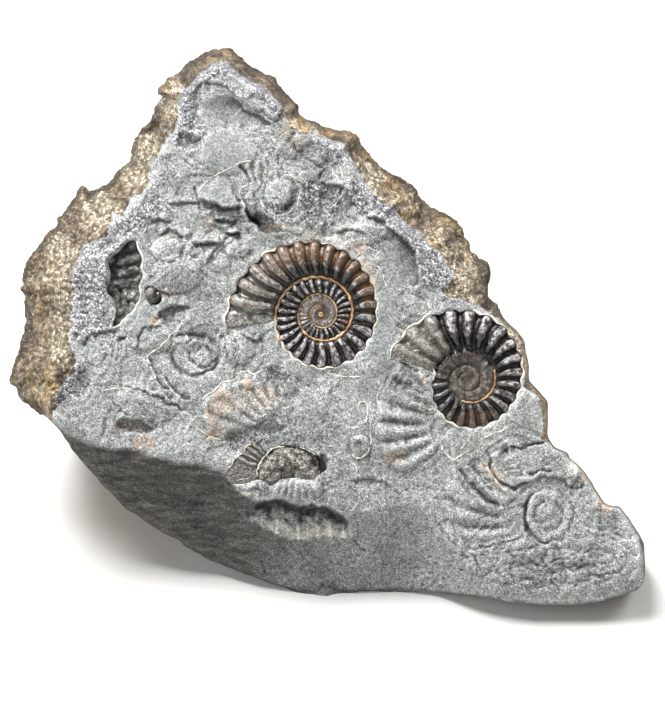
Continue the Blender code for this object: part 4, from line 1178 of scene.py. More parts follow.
@dataclass
class Block:
    """The stone itself: its relief, its painted zones and its mesh.

    Attributes:
        beds: Outline of each shell's bed on the face, and the depth of its floor.
        face_step: Spacing of the fine grid of the front, in millimetres.
        rear_step: Spacing of the grid of the back.
        rim_step: Spacing of the points round the rim.
        rim_inset: Distance of the first ring inside the rim.
        bed_inset: How much smaller a bed's floor is than its lip.
        thin_band: How much narrower than read the rounded bands at the thin edges are.
        cavity_rounds: Rounds of smoothing after which the hollows are measured.
        cavity_heights: Height that counts as a full hollow or ridge after each of them.
        cavity_weights: Weight of each of them.
        outline: Readings round the block, each with its edge's depth and the width of its rounded band in
            pixels. Where the depth is None the edge follows the broken wall.
        fold: Readings along the fold between the face and the broken wall.
        fold_blur: Shifts and weights that round the fold.
        back_distance: Distance of the back behind the face.
        back_overhang: How much the back leans out.
        back_rounding: Width of the back's rounded edge.
        back_power: How full that edge is.
        rind_left: Area of the weathered rind on the left and at the top.
        rind_right: Area of the rind on the right.
        mounds: Low domes and hollows.
        ledges: Broken steps.
        grooves: Cracks, and the lines of prints.
        fans: Patches of ribs left by lost shells.
        flakes: Thin raised flakes of stone, and their heights.
        hollow: Outline of the ribbed hollow in the wall.
        hollow_lip: Its upper edge.
        hollow_foot: Its lower edge.
        hollow_ribs: Column and strength of each of its ribs.
        print_hub: Hub of the grey print on the lower right.
        coil_hub: Hub of the buried coil near the top.
        broken_marks: Where the stone broke rough.
    """

    beds: list[tuple[Points, float]] = field(default_factory=list)
    face_step: float = 0.28
    rear_step: float = 1.5
    rim_step: float = 0.45
    rim_inset: float = 0.45
    bed_inset: float = 0.12
    thin_band: float = 0.4
    cavity_rounds: tuple[int, int] = (4, 20)
    cavity_heights: tuple[float, float] = (0.085, 0.30)
    cavity_weights: tuple[float, float] = (0.78, 0.42)
    back_distance: float = 46.0
    back_overhang: float = 0.107
    back_rounding: float = 19.0
    back_power: float = 2.2
    print_hub: tuple[float, float] = (549, 515)
    coil_hub: tuple[float, float] = (280, 194)

    outline: tuple = (
        (227, 47, 12, 20), (233, 50, 12, 20), (240, 57, 12, 20), (248, 64, 12, 20), (256, 69, 12, 20),
        (266, 73, 12, 20), (274, 78, 11, 20), (279, 84, 11, 20), (285, 92, 10, 18), (291, 98, 10, 17),
        (297, 104, 9, 16), (299, 112, 9, 16), (306, 118, 9, 16), (316, 122, 9, 16), (325, 127, 9, 17),
        (340, 130, 9, 18), (352, 132, 9, 20), (358, 137, 9, 22), (362, 145, 9, 24), (370, 154, 9, 26),
        (377, 163, 9, 28), (388, 171, 9, 32), (400, 178, 10, 36), (411, 184, 10, 40), (418, 192, 10, 42),
        (420, 197, 10, 43), (430, 206, 10, 44), (440, 211, 10, 42), (450, 216, 10, 40), (458, 222, 10, 39),
        (463, 228, 10, 38), (464, 236, 10, 37), (469, 243, 10, 36), (471, 250, 10, 34), (480, 257, 10, 32),
        (487, 263, 10, 30), (491, 272, 10, 28), (489, 282, 9, 26), (488, 290, 9, 24), (490, 300, 9, 18),
        (497, 304, 8, 16), (501, 312, 8, 14), (504, 318, 8, 13), (511, 325, 8, 12), (519, 333, 8, 11),
        (524, 341, 8, 10), (526, 352, 8, 10), (529, 365, 7, 10), (530, 380, 7, 10), (537, 389, 6, 8),
        (542, 395, 6, 8), (547, 400, 6, 8), (548, 412, 6, 8), (548, 425, 6, 8), (549, 438, 6, 8),
        (555, 447, 6, 8), (566, 452, 6, 8), (570, 458, 6, 8), (577, 464, 6, 8), (583, 470, 6, 8),
        (588, 477, 6, 8), (593, 485, 6, 8), (598, 493, 6, 8), (605, 503, 6, 7), (612, 506, 6, 7),
        (619, 507, 6, 7), (624, 512, 6, 8), (630, 520, 6, 8), (636, 530, 7, 9), (641, 537, 7, 10),
        (644, 546, 8, 10), (645, 562, 8, 10), (644, 580, None, 8), (641, 586, None, 8), (634, 591, None, 8),
        (622, 595, None, 8), (608, 599, None, 8), (603, 602, None, 8), (590, 603, None, 8),
        (570, 605, None, 8), (550, 605, None, 8), (530, 604, None, 8), (505, 602, None, 8),
        (497, 599, None, 8), (485, 597, None, 8), (462, 594, None, 8), (440, 592, None, 8),
        (400, 592, None, 8), (365, 591, None, 8), (352, 593, None, 8), (335, 594, None, 8),
        (325, 596, None, 8), (312, 594, None, 8), (300, 593, None, 8), (285, 588, None, 8),
        (270, 583, None, 8), (255, 577, None, 8), (240, 572, None, 8), (225, 566, None, 8),
        (210, 560, None, 8), (198, 553, None, 8), (186, 547, None, 8), (178, 540, None, 8),
        (165, 534, None, 8), (155, 528, None, 8), (145, 521, None, 8), (135, 514, None, 8),
        (125, 508, None, 8), (118, 500, None, 8), (110, 492, None, 8), (103, 486, None, 8),
        (96, 477, None, 8), (90, 470, None, 8), (83, 463, None, 8), (76, 454, None, 8), (68, 443, None, 8),
        (62, 434, None, 8), (55, 425, None, 8), (47, 418, None, 10), (40, 414, 9, 20), (34, 410, 9, 24),
        (28, 405, 9, 26), (22, 401, 9, 30), (18, 396, 10, 34), (17, 388, 10, 40), (13, 386, 10, 42),
        (10, 381, 11, 44), (12, 370, 11, 46), (14, 362, 11, 48), (18, 352, 11, 48), (20, 342, 11, 50),
        (24, 330, 11, 50), (25, 320, 11, 50), (24, 296, 11, 50), (20, 288, 11, 52), (22, 283, 11, 52),
        (23, 274, 11, 50), (26, 265, 11, 50), (27, 259, 11, 50), (31, 254, 11, 48), (38, 247, 11, 48),
        (44, 238, 11, 47), (50, 231, 11, 46), (56, 226, 11, 46), (57, 218, 11, 46), (62, 216, 11, 45),
        (66, 210, 11, 44), (72, 200, 11, 44), (77, 193, 11, 42), (80, 185, 11, 42), (85, 186, 11, 42),
        (90, 191, 11, 42), (98, 188, 10, 41), (107, 184, 10, 40), (112, 179, 10, 38), (118, 171, 10, 37),
        (122, 167, 10, 36), (130, 160, 10, 35), (131, 150, 10, 34), (134, 140, 10, 34), (140, 131, 10, 34),
        (147, 125, 10, 34), (150, 119, 10, 34), (153, 113, 10, 33), (157, 104, 10, 30), (162, 96, 10, 28),
        (158, 94, 10, 28), (160, 88, 10, 28), (163, 85, 10, 27), (168, 78, 10, 26), (178, 72, 11, 25),
        (184, 66, 11, 24), (190, 61, 12, 23), (200, 56, 12, 22), (208, 51, 12, 20), (216, 50, 12, 20),
    )
    fold: Path = (
        (10, 386), (47, 418), (60, 428), (75, 436), (90, 441), (112, 447), (130, 446), (150, 452),
        (175, 460), (200, 462), (222, 468), (240, 492), (262, 500), (300, 504), (350, 512), (380, 507),
        (400, 503), (420, 503), (435, 518), (445, 535), (460, 555), (480, 572), (510, 582), (560, 590),
        (610, 588), (644, 575),
    )
    fold_blur: tuple = (
        (-4.8, 0.08), (-3.2, 0.15), (-1.6, 0.17), (0.0, 0.2), (1.6, 0.17), (3.2, 0.15), (4.8, 0.08),
    )
    rind_left: Path = (
        (-20, 430), (47, 418), (55, 413), (58, 400), (60, 385), (75, 370), (68, 345), (70, 320), (72, 290),
        (75, 265), (80, 250), (90, 240), (105, 235), (122, 210), (130, 200), (140, 190), (148, 180),
        (150, 170), (155, 155), (165, 145), (175, 130), (180, 115), (178, 95), (181, 72), (195, 65),
        (217, 59), (236, 61), (250, 67), (262, 72), (262, -20), (-20, -20),
    )
    rind_right: Path = (
        (240, 40), (250, 67), (269, 77), (278, 86), (284, 98), (281, 116), (292, 128), (320, 132),
        (340, 141), (350, 156), (362, 176), (370, 190), (385, 204), (400, 213), (416, 222), (425, 238),
        (440, 256), (452, 268), (450, 284), (442, 294), (470, 303), (490, 306), (503, 328), (515, 344),
        (520, 372), (527, 390), (541, 402), (541, 440), (700, 440), (700, -20),
    )
    mounds: tuple[Mound, ...] = (
        Mound(177, 274, 26, 20, 1.5, 0, 0.8), Mound(154, 338, 17, 15, 1.0, 0, 0.55),
        Mound(166, 249, 16, 12, 1.0, 0, 0.5), Mound(195, 358, 25, 17, -0.6, -8, 0.5),
        Mound(205, 358, 11, 8, 0.45, 0, 0.7), Mound(296, 491, 27, 13, 2.0, 4),
        Mound(232, 112, 33, 17, -1.0, -8, 0.9), Mound(228, 152, 30, 24, 0.8), Mound(342, 186, 15, 24, 1.0),
        Mound(240, 348, 14, 18, 0.9), Mound(126, 285, 16, 44, -1.1), Mound(360, 446, 10, 12, 0.9, 0, 0.5),
        Mound(40, 386, 22, 26, 2.2), Mound(137, 426, 24, 8, -1.2), Mound(322, 205, 22, 18, -0.7),
        Mound(262, 222, 17, 9, -1.3, -30), Mound(98, 285, 14, 40, 0.6),
        Mound(146, 404, 32, 15, 1.1, -14, 0.5), Mound(425, 328, 30, 14, -0.5),
        Mound(173, 317, 14, 12, -0.4, 0, 0.5), Mound(194, 247, 8, 8, 0.5, 0, 0.4),
        Mound(196, 355, 22, 19, 0.5), Mound(188, 141, 14, 8, -1.0), Mound(80, 383, 11, 18, -0.9),
        Mound(246, 384, 8, 5, 0.7), Mound(323, 463, 5, 9, -1.0), Mound(244, 486, 16, 6, 0.7),
        Mound(251, 492, 11, 4, 0.9), Mound(360, 392, 24, 22, -0.35), Mound(335, 395, 30, 20, 0.4),
        Mound(312, 403, 20, 18, 0.5), Mound(222, 222, 14, 6, 0.7), Mound(232, 212, 12, 5, 0.5),
        Mound(120, 425, 14, 8, 0.5), Mound(275, 372, 11, 7, -0.2), Mound(230, 246, 9, 14, 0.7, 30),
        Mound(222, 262, 10, 8, 0.4, 20), Mound(244, 250, 8, 5, 0.5, 30),
        Mound(228, 348, 6, 13, 0.5, 0, 0.4), Mound(180, 232, 10, 6, 0.5), Mound(150, 212, 10, 8, 0.6),
        Mound(164, 214, 6, 6, 0.7), Mound(250, 205, 6, 14, 0.8, 0, 0.5),
        Mound(281, 196, 17, 18, 0.9, 0, 0.5), Mound(308, 176, 10, 8, 0.5), Mound(286, 150, 12, 9, 0.4),
        Mound(302, 140, 9, 7, 0.5), Mound(333, 150, 12, 8, 0.4), Mound(320, 158, 8, 6, 0.5),
        Mound(366, 232, 20, 14, 0.5), Mound(407, 262, 10, 26, -0.5),
    )
    ledges: tuple[Ledge, ...] = (
        Ledge(((232, 96), (239, 103), (246, 109), (256, 113), (263, 115), (267, 122), (271, 127)), 1.3, 14),
        Ledge(((202, 197), (216, 204), (225, 207), (233, 208), (240, 205)), 2.0, 34, 0.15),
        Ledge(((214, 219), (226, 220), (238, 219)), 1.5, 12, 0.15),
        Ledge(((225, 232), (233, 235), (239, 232)), 1.3, 9, 0.15),
        Ledge(((285, 232), (276, 234), (266, 233), (259, 229), (253, 222), (247, 215), (246, 208),
            (242, 201)), 1.7, 14, 0.15),
        Ledge(((191, 242), (200, 243), (210, 242), (221, 241)), 1.4, 13),
        Ledge(((349, 480), (361, 478), (378, 479), (392, 486), (403, 495)), 0.7, 18, 0.8),
        Ledge(((386, 225), (401, 234), (411, 247), (417, 260), (419, 273), (418, 284), (414, 292)),
            2.0, 20, 0.3),
        Ledge(((367, 217), (376, 219), (387, 219)), 1.4, 9),
        Ledge(((322, 182), (334, 185), (345, 186), (342, 197)), 1.2, 12),
        Ledge(((158, 319), (160, 311), (166, 307), (175, 305), (190, 307)), 1.5, 11),
        Ledge(((110, 261), (118, 252), (128, 242), (136, 239)), 1.4, 12),
        Ledge(((377, 420), (395, 418), (413, 419)), 0.5, 10, 0.4),
        Ledge(((150, 220), (163, 219), (171, 221)), 0.9, 8),
        Ledge(((169, 203), (185, 202), (202, 201)), 0.7, 9),
        Ledge(((204, 266), (211, 255), (215, 248), (223, 242), (229, 234)), 0.8, 10),
        Ledge(((213, 256), (222, 248), (232, 240), (240, 236)), 0.45, 6),
        Ledge(((148, 285), (153, 289), (161, 292), (170, 291)), 0.8, 7),
        Ledge(((140, 348), (137, 339), (142, 328), (152, 325), (163, 328)), 1.0, 12),
        Ledge(((214, 346), (204, 342), (194, 338), (186, 346)), 0.8, 10),
        Ledge(((169, 392), (161, 388), (155, 377), (150, 365), (148, 357)), 1.0, 8),
        Ledge(((192, 400), (184, 400), (177, 395), (169, 386), (163, 375)), 0.9, 8),
        Ledge(((228, 360), (224, 352), (225, 344), (223, 336)), 0.6, 5),
        Ledge(((229, 334), (234, 344), (236, 351), (232, 358)), 0.6, 5),
        Ledge(((118, 340), (121, 336), (127, 337)), 1.0, 5),
        Ledge(((242, 330), (248, 338), (256, 341), (262, 336)), 0.8, 8),
        Ledge(((296, 132), (293, 140), (297, 149), (306, 151)), 0.7, 8),
        Ledge(((322, 183), (318, 176), (322, 168)), 0.6, 8),
        Ledge(((345, 186), (352, 196), (360, 206), (368, 214)), 0.8, 9),
        Ledge(((300, 178), (306, 186), (314, 190)), 0.7, 8),
        Ledge(((124, 386), (146, 390), (153, 395), (163, 396), (168, 401), (178, 403), (181, 411)),
            1.1, 10),
        Ledge(((232, 483), (240, 488), (250, 489), (258, 485)), 1.4, 8),
        Ledge(((499, 453), (510, 446), (524, 448), (534, 442), (546, 443)), 1.2, 9),
        Ledge(((115, 421), (125, 418), (140, 420), (156, 430)), 1.2, 9),
        Ledge(((80, 345), (88, 335), (102, 330), (118, 329)), 0.8, 12),
        Ledge(((335, 232), (350, 228), (366, 232)), 0.7, 10),
    )
    grooves: tuple[Groove, ...] = (
        Groove(((128, 240), (121, 249), (111, 258), (108, 266), (109, 280), (104, 292)), 1.1, 2.6),
        Groove(((158, 238), (163, 234), (170, 231), (177, 234), (183, 241)), 0.8, 2.0),
        Groove(((262, 558), (264, 566), (265, 575)), 0.45, 1.3),
        Groove(((472, 552), (477, 562), (480, 574)), 0.45, 1.3),
        Groove(((550, 578), (556, 586), (559, 594)), 0.45, 1.3),
        Groove(((350, 538), (357, 541), (360, 547), (368, 552)), 0.45, 1.3),
        Groove(((240, 162), (243, 170), (247, 177), (251, 183)), 0.8, 2.0),
        Groove(((402, 361), (410, 366), (420, 373)), 0.7, 3.6),
        Groove(((392, 376), (408, 386), (425, 395)), 0.8, 3.6),
        Groove(((171, 346), (173, 363), (184, 373), (200, 375), (213, 369), (218, 361), (219, 350),
            (213, 341), (203, 336), (190, 334), (178, 337), (171, 346)), 0.55, 3.2),
        Groove(((192, 365), (200, 368), (209, 365), (213, 357), (209, 349), (201, 346)), 0.4, 2.2),
        Groove(((191, 350), (188, 357), (194, 365)), 0.5, 1.6),
        Groove(((489, 453), (491, 466), (498, 480), (512, 487), (522, 485), (532, 480)), 0.8, 1.6),
        Groove(((527, 474), (540, 471), (552, 473)), 0.6, 1.5),
        Groove(((570, 484), (577, 488), (585, 482)), 0.5, 1.5),
        Groove(((478, 547), (490, 546), (500, 542), (512, 541), (524, 536)), 0.5, 1.3),
        Groove(((540, 556), (548, 568), (556, 572)), 0.4, 1.4),
        Groove(((430, 512), (450, 540), (470, 560)), 0.3, 2.0),
        Groove(((459, 469), (470, 482), (483, 496), (499, 508)), 0.8, 3.0),
        Groove(((470, 464), (480, 476), (490, 489), (498, 499)), 0.45, 2.2),
        Groove(((190, 355), (193, 361), (196, 366)), 0.4, 1.6),
        Groove(((231, 333), (234, 340), (238, 345), (237, 353), (233, 361)), 0.5, 1.5),
        Groove(((221, 335), (226, 344), (228, 352), (226, 361)), 0.5, 1.5),
        Groove(((524, 524), (528, 533), (533, 539), (541, 546)), 0.5, 2.0),
        Groove(((521, 552), (532, 560), (544, 566), (563, 556)), 0.3, 1.8),
        Groove(((196, 185), (196, 193), (199, 201), (201, 212)), 0.5, 2.0),
    )
    fans: tuple[RibFan, ...] = (
        RibFan(((240, 162), (255, 160), (268, 166), (270, 178), (262, 187), (252, 186)), (262, 204),
            26, 0.5, -0.3, 0.0, 0.6),
        RibFan(((200, 402), (208, 393), (221, 382), (236, 378), (240, 371), (252, 372), (267, 367),
            (282, 376), (290, 392), (283, 412), (262, 424), (240, 434), (222, 440), (206, 434), (200, 418)),
            (287, 440), 30, 0.5, 0.5, 0.6, 1.4, 0.8, 0.0, 20, 0.3, 0.2),
        RibFan(((396, 360), (406, 353), (424, 352), (431, 366), (434, 388), (443, 408), (450, 430),
            (447, 452), (430, 470), (404, 476), (382, 462), (373, 440), (373, 420), (377, 396), (385, 379)),
            (464, 418), 25, 1.0, 0.25, 0.79, 1.6, 0.9, 0.012, 34, 0.25, 0.2),
        RibFan(((446, 470), (462, 477), (480, 462), (489, 470), (500, 484), (512, 489), (522, 500),
            (521, 520), (527, 534), (512, 542), (488, 545), (466, 542), (448, 524), (440, 500)), (549, 514),
            27, 0.85, -0.1, 0.4, 1.4, 0.75, 0.02, 38, 0.25, 0.25),
        RibFan(((573, 489), (590, 490), (604, 505), (612, 520), (606, 542), (588, 552), (566, 548),
            (566, 520), (564, 500)), (548, 514), 36, 0.3, 0.0, 0.5, 1.8, 1.0, 0.0, 36),
        RibFan(((272, 478), (284, 476), (300, 477), (318, 478), (326, 492), (312, 502), (296, 505),
            (280, 500), (264, 494)), (296, 446), 44, 0.5, 0.0, 0.0, 1.0, 0.8),
    )
    flakes: tuple[tuple[Path, float], ...] = (
        (((489, 455), (497, 449), (503, 446), (520, 447), (534, 443), (547, 443), (565, 451), (577, 462),
            (583, 473), (571, 487), (561, 478), (547, 476), (539, 477), (531, 481), (521, 485), (512, 487),
            (506, 484), (499, 481), (492, 468)), 0.9),
        (((190, 60), (213, 56), (240, 62), (262, 74), (280, 92), (284, 108), (276, 122), (268, 118),
            (263, 112), (252, 110), (244, 105), (236, 97), (222, 84), (204, 82), (192, 96), (184, 92)),
            0.7),
    )
    hollow: Path = (
        (240, 511), (249, 508), (256, 502), (267, 498), (281, 496), (292, 501), (302, 504), (312, 501),
        (318, 504), (327, 504), (335, 509), (345, 515), (350, 522), (351, 531), (353, 538), (343, 541),
        (332, 541), (322, 539), (310, 542), (298, 544), (288, 541), (276, 537), (265, 532), (255, 524),
        (246, 520),
    )
    hollow_lip: Path = (
        (240, 511), (249, 508), (256, 502), (267, 498), (281, 496), (292, 501), (302, 504), (312, 501),
        (327, 504), (335, 509), (345, 515), (350, 522), (353, 536),
    )
    hollow_foot: Path = (
        (240, 513), (246, 520), (255, 524), (265, 532), (276, 537), (288, 541), (298, 544), (310, 542),
        (322, 539), (332, 541), (343, 541), (353, 539),
    )
    hollow_ribs: Path = (
        (254, 0.3), (265, 0.4), (279, 0.9), (289, 0.6), (299, 1.0), (307, 0.4), (317, 0.7), (329, 0.5),
        (341, 0.4),
    )
    broken_marks: tuple = (
        Blot(540, 566, 115, 26), Blot(450, 566, 40, 34, 0.7), Blot(400, 490, 40, 14, 0.4),
        Blot(626, 545, 18, 40, 0.7),
    )
    sugar_marks: tuple = (
        Patch(((182, 70), (200, 60), (225, 52), (262, 76), (284, 96), (283, 118), (275, 124), (272, 112),
            (262, 96), (244, 82), (222, 76), (202, 82), (196, 100), (197, 120), (205, 137), (202, 150),
            (184, 153), (172, 146), (178, 128), (182, 100))),
        Patch(((75, 252), (92, 242), (108, 238), (128, 238), (110, 258), (106, 292), (112, 322), (104, 340),
            (84, 344), (72, 340), (70, 300))),
        Patch(((300, 180), (318, 178), (345, 186), (340, 205), (330, 225), (305, 226), (297, 205))),
        Patch(((348, 180), (366, 182), (374, 205), (362, 220), (352, 205))),
        Patch(((372, 190), (400, 213), (420, 226), (430, 246), (452, 270), (446, 292), (425, 290),
            (412, 262), (398, 240), (385, 224), (372, 212)), 0.9),
        Patch(((318, 130), (345, 142), (354, 164), (332, 166), (312, 150)), 0.9),
        Patch(((60, 366), (84, 360), (93, 385), (80, 402), (60, 400))),
        Patch(((140, 196), (164, 186), (172, 205), (152, 226), (128, 238), (108, 240), (120, 218)), 0.8),
        Patch(((150, 160), (176, 150), (182, 180), (160, 192), (146, 184)), 0.6),
        Patch(((262, 372), (290, 372), (340, 384), (346, 420), (330, 446), (290, 442), (262, 430),
            (246, 440), (236, 432), (262, 410), (280, 392)), 0.42),
        Patch(((262, 198), (298, 196), (300, 212), (285, 226), (262, 222)), 0.7),
        Patch(((496, 450), (548, 446), (570, 462), (560, 476), (520, 484), (500, 478)), 0.3, 0.8),
        Patch(((268, 128), (300, 132), (300, 160), (270, 176), (250, 160)), 0.45),
        Patch(((100, 388), (150, 388), (190, 412), (176, 436), (120, 420)), 0.4),
        Blot(110, 345, 20, 14, 0.5), Blot(480, 500, 34, 22, 0.2), Blot(165, 318, 12, 12, 0.5),
        Blot(277, 373, 18, 10, 0.9, -12), Blot(345, 350, 20, 12, 0.3), Blot(300, 462, 26, 14, 0.4),
        Blot(250, 440, 30, 9, 0.8, 14),
    )
    tan_marks: tuple = (
        Blot(216, 408, 11, 21, 1.1, -20), Blot(233, 418, 8, 14, 0.5), Blot(243, 383, 13, 8, 0.85),
        Blot(264, 396, 16, 18, 0.75), Blot(243, 402, 14, 18, 0.5), Blot(223, 398, 12, 14, 0.8),
        Blot(213, 432, 15, 8, 1.0), Blot(290, 130, 14, 20, 0.6), Blot(153, 322, 8, 8, 0.9),
        Blot(398, 456, 14, 11, 0.9), Blot(384, 440, 6, 4, 0.7), Blot(422, 380, 7, 6, 1.0),
        Blot(273, 226, 15, 8, 0.8), Blot(145, 443, 14, 9, 0.8), Blot(135, 426, 24, 8, 0.7),
        Blot(492, 474, 20, 6, 1.4, -52), Blot(604, 508, 9, 5, 1.3), Blot(586, 480, 12, 4, 1.0, -55),
        Blot(606, 509, 7, 5, 0.9),
        Streak(((352, 243), (362, 252), (368, 263), (372, 276), (374, 288)), 5.0, 0.9),
        Streak(((580, 474), (588, 482), (595, 491), (602, 500)), 3.5, 1.0), Blot(170, 294, 12, 5, 0.7),
        Blot(300, 145, 12, 10, 0.5), Blot(206, 226, 14, 10, 0.5), Blot(264, 178, 10, 8, 0.3),
        Blot(355, 247, 16, 7, 0.7, -20), Blot(470, 446, 12, 6, 0.5), Blot(545, 405, 6, 14, 0.6),
        Streak(((500, 306), (512, 324), (521, 343), (526, 366), (529, 385)), 5.0, 0.8),
    )
    pale_marks: tuple = (
        Streak(((356, 245), (365, 255), (370, 266), (374, 280)), 4.0, 0.6),
        Streak(((278, 228), (290, 229), (305, 233), (317, 236), (332, 239), (348, 241), (362, 243)),
            5.0, 0.62),
        Blot(295, 489, 24, 10, 0.15), Blot(250, 494, 12, 4, 0.7), Blot(313, 478, 5, 4, 1.2),
        Blot(571, 467, 8, 5, 2.6, -50),
        Streak(((498, 304), (508, 318), (517, 334), (523, 356), (527, 376)), 3.5, 0.55),
        Blot(237, 113, 2, 2, 1.2), Blot(480, 440, 34, 7, 0.35, 8), Blot(265, 212, 10, 10, 0.35),
        # The last blot, at (300, 525), is painted light on the ribbed hollow's foot.
        Blot(160, 215, 12, 8, 0.4), Blot(345, 374, 20, 3, 0.4), Blot(300, 525, 30, 14, 0.35),
    )
    smooth_marks: tuple = (
        Blot(232, 110, 36, 18), Blot(230, 155, 34, 28, 0.9), Blot(140, 318, 18, 14),
        Blot(385, 330, 14, 60, 0.8), Blot(400, 262, 20, 34, 0.9), Blot(250, 300, 12, 40, 0.3),
        Blot(530, 420, 18, 24, 0.5), Blot(220, 192, 22, 14, 0.9), Blot(250, 245, 40, 12, 0.6),
        Blot(285, 372, 50, 8, 0.5), Blot(360, 395, 24, 26, 0.6), Blot(175, 170, 16, 20, 0.5),
    )
    dark_marks: tuple = (
        Blot(254, 221, 11, 6, 1.0, -48), Blot(290, 203, 6, 12, 0.8, -20), Blot(322, 463, 4.5, 9, 0.8),
        Blot(126, 427, 14, 5, 0.4, -10), Blot(337, 191, 8, 5, 0.3),
        Streak(((500, 453), (509, 449), (517, 448)), 2.5, 0.8), Streak(((524, 446), (532, 443)), 2.5, 0.8),
        Streak(((470, 462), (478, 460)), 3.0, 0.7), Blot(84, 378, 8, 12, 0.4), Blot(232, 234, 7, 3, 0.6),
    )
    # Painted shadow: the streaks lie under broken ledges and along grooves. The patches and blots make areas darker.
    shadow_and_darkening_marks: tuple = (
        Streak(((202, 200), (213, 206), (225, 209), (241, 209)), 3.0, 1.1),
        Streak(((213, 221), (226, 223), (240, 221)), 2.8, 1.1),
        Streak(((223, 234), (233, 237), (239, 233)), 2.6, 1.0),
        Streak(((190, 244), (205, 245), (219, 244)), 2.4, 0.9),
        Streak(((159, 239), (167, 235), (177, 237), (182, 242)), 2.4, 0.8),
        Streak(((246, 208), (249, 217), (256, 226), (266, 234), (277, 236)), 2.6, 1.0),
        Streak(((158, 316), (159, 309), (165, 306), (175, 306), (188, 307)), 2.4, 0.9),
        Streak(((148, 357), (150, 365), (156, 377), (161, 388), (169, 392)), 1.4, 0.7),
        Streak(((163, 375), (169, 386), (177, 395), (184, 400), (192, 400)), 1.4, 0.7),
        Streak(((171, 346), (173, 363), (184, 373), (200, 375), (213, 369), (218, 361)), 1.4, 0.6),
        Streak(((249, 329), (255, 336), (263, 337)), 2.5, 0.6),
        Streak(((475, 550), (494, 547), (513, 540)), 1.6, 0.8),
        Streak(((420, 262), (421, 275), (420, 287)), 1.8, 0.6),
        Streak(((348, 186), (362, 199), (369, 208)), 1.5, 0.5),
        Patch(((182, 72), (200, 62), (225, 54), (262, 76), (284, 98), (280, 108), (262, 92), (244, 80),
            (222, 75), (202, 80), (196, 100), (194, 125), (184, 130), (180, 105)), 0.55, 1.2),
        Patch(((146, 150), (172, 120), (190, 134), (186, 156), (160, 170)), 0.3, 1.6),
        Blot(268, 230, 20, 8, 0.7, -20), Blot(305, 231, 34, 8, 0.5, -8), Blot(322, 200, 34, 30, 0.6),
        Blot(318, 430, 40, 22, 0.35), Blot(530, 462, 44, 20, 0.25), Blot(358, 444, 6, 9, 0.95),
        Blot(268, 427, 28, 7, 1.0, 4), Blot(238, 437, 16, 5, 0.9, 15), Blot(290, 492, 34, 12, 0.5),
        Blot(535, 572, 90, 22, 0.3), Blot(528, 462, 34, 12, 0.25),
        Streak(((466, 470), (477, 484), (489, 498), (498, 507)), 3.0, 0.8),
        Streak(((459, 478), (469, 492), (482, 505)), 2.5, 0.6),
        Streak(((527, 501), (523, 512), (524, 526), (529, 537)), 2.2, 0.8), Blot(214, 410, 12, 20, 0.2),
        Streak(((460, 470), (471, 483), (484, 497), (496, 507)), 4.5, 0.6), Blot(275, 375, 14, 8, 1.0, -8),
        Blot(262, 371, 8, 5, 0.9), Blot(345, 462, 60, 26, 0.35), Blot(310, 145, 40, 18, 0.35),
        Blot(402, 385, 26, 34, 0.35), Blot(206, 218, 34, 16, 0.3), Blot(250, 222, 18, 12, 0.3),
        Blot(415, 250, 12, 40, 0.35), Blot(166, 296, 14, 30, 0.2), Blot(400, 225, 30, 20, 0.25),
        Blot(120, 400, 30, 18, 0.2), Blot(250, 436, 34, 14, 0.4),
    )
    cream_marks: tuple = (
        Blot(170, 90, 16, 34, 1.0), Blot(140, 160, 26, 32, 1.0), Blot(100, 212, 26, 22, 1.0),
        Blot(60, 270, 18, 40, 0.8), Blot(60, 340, 12, 36, 0.9), Blot(365, 180, 22, 26, 1.0),
        Blot(400, 205, 22, 14, 0.9), Blot(455, 285, 36, 14, 0.9), Blot(475, 290, 16, 16, 1.0),
        Blot(305, 128, 26, 12, 0.6), Blot(45, 395, 14, 14, 0.8), Blot(515, 350, 14, 36, 0.8),
        Blot(430, 240, 18, 18, 0.8), Blot(457, 262, 24, 26, 1.2),
    )
    rust_marks: tuple = (
        Blot(40, 388, 26, 30, 1.0), Blot(355, 150, 30, 22, 1.0), Blot(400, 195, 44, 26, 1.2),
        Blot(315, 125, 30, 14, 1.0), Blot(445, 240, 24, 26, 1.0), Blot(165, 95, 16, 30, 0.7),
        Blot(225, 55, 30, 12, 0.9), Blot(520, 350, 16, 40, 0.7), Blot(50, 300, 20, 60, 0.3),
        Blot(460, 250, 20, 24, 0.7),
    )

    def wall_drop(self, points: Points) -> Points:
        """Depth of the broken wall below the fold line, zero above it."""
        line = READ.points(self.fold)
        fold_height = np.zeros(len(points))
        for shift, weight in self.fold_blur:
            fold_height += weight * np.interp(points[:, 0] + shift, line[:, 0], line[:, 1])
        below = fold_height - points[:, 1]
        return math.tan(READ.lean) * np.log1p(np.exp(np.clip(below, -30.0, 30.0)))

    def edge_band(self, points: Points) -> tuple[Points, Points, Points]:
        """Depth of the block's edge nearest to each point, distance to it, and width of its band."""
        loop = READ.points(self.outline)
        walls = -self.wall_drop(loop) - 1.0
        edge = np.array([wall if entry[2] is None else -entry[2] for entry, wall in zip(self.outline, walls)])
        edge = np.maximum(edge, READ.ground(loop[:, 1]))
        band = np.array([entry[3] / READ.pixels_per_mm * (self.thin_band if entry[3] < 14 else 1.0)
                         for entry in self.outline])
        distance, segment, share, _ = to_path(points, loop, closed=True)
        after = (segment + 1) % len(loop)
        depth = edge[segment] * (1.0 - share) + edge[after] * share
        width = band[segment] * (1.0 - share) + band[after] * share
        return np.maximum(depth, READ.ground(points[:, 1])), distance, width

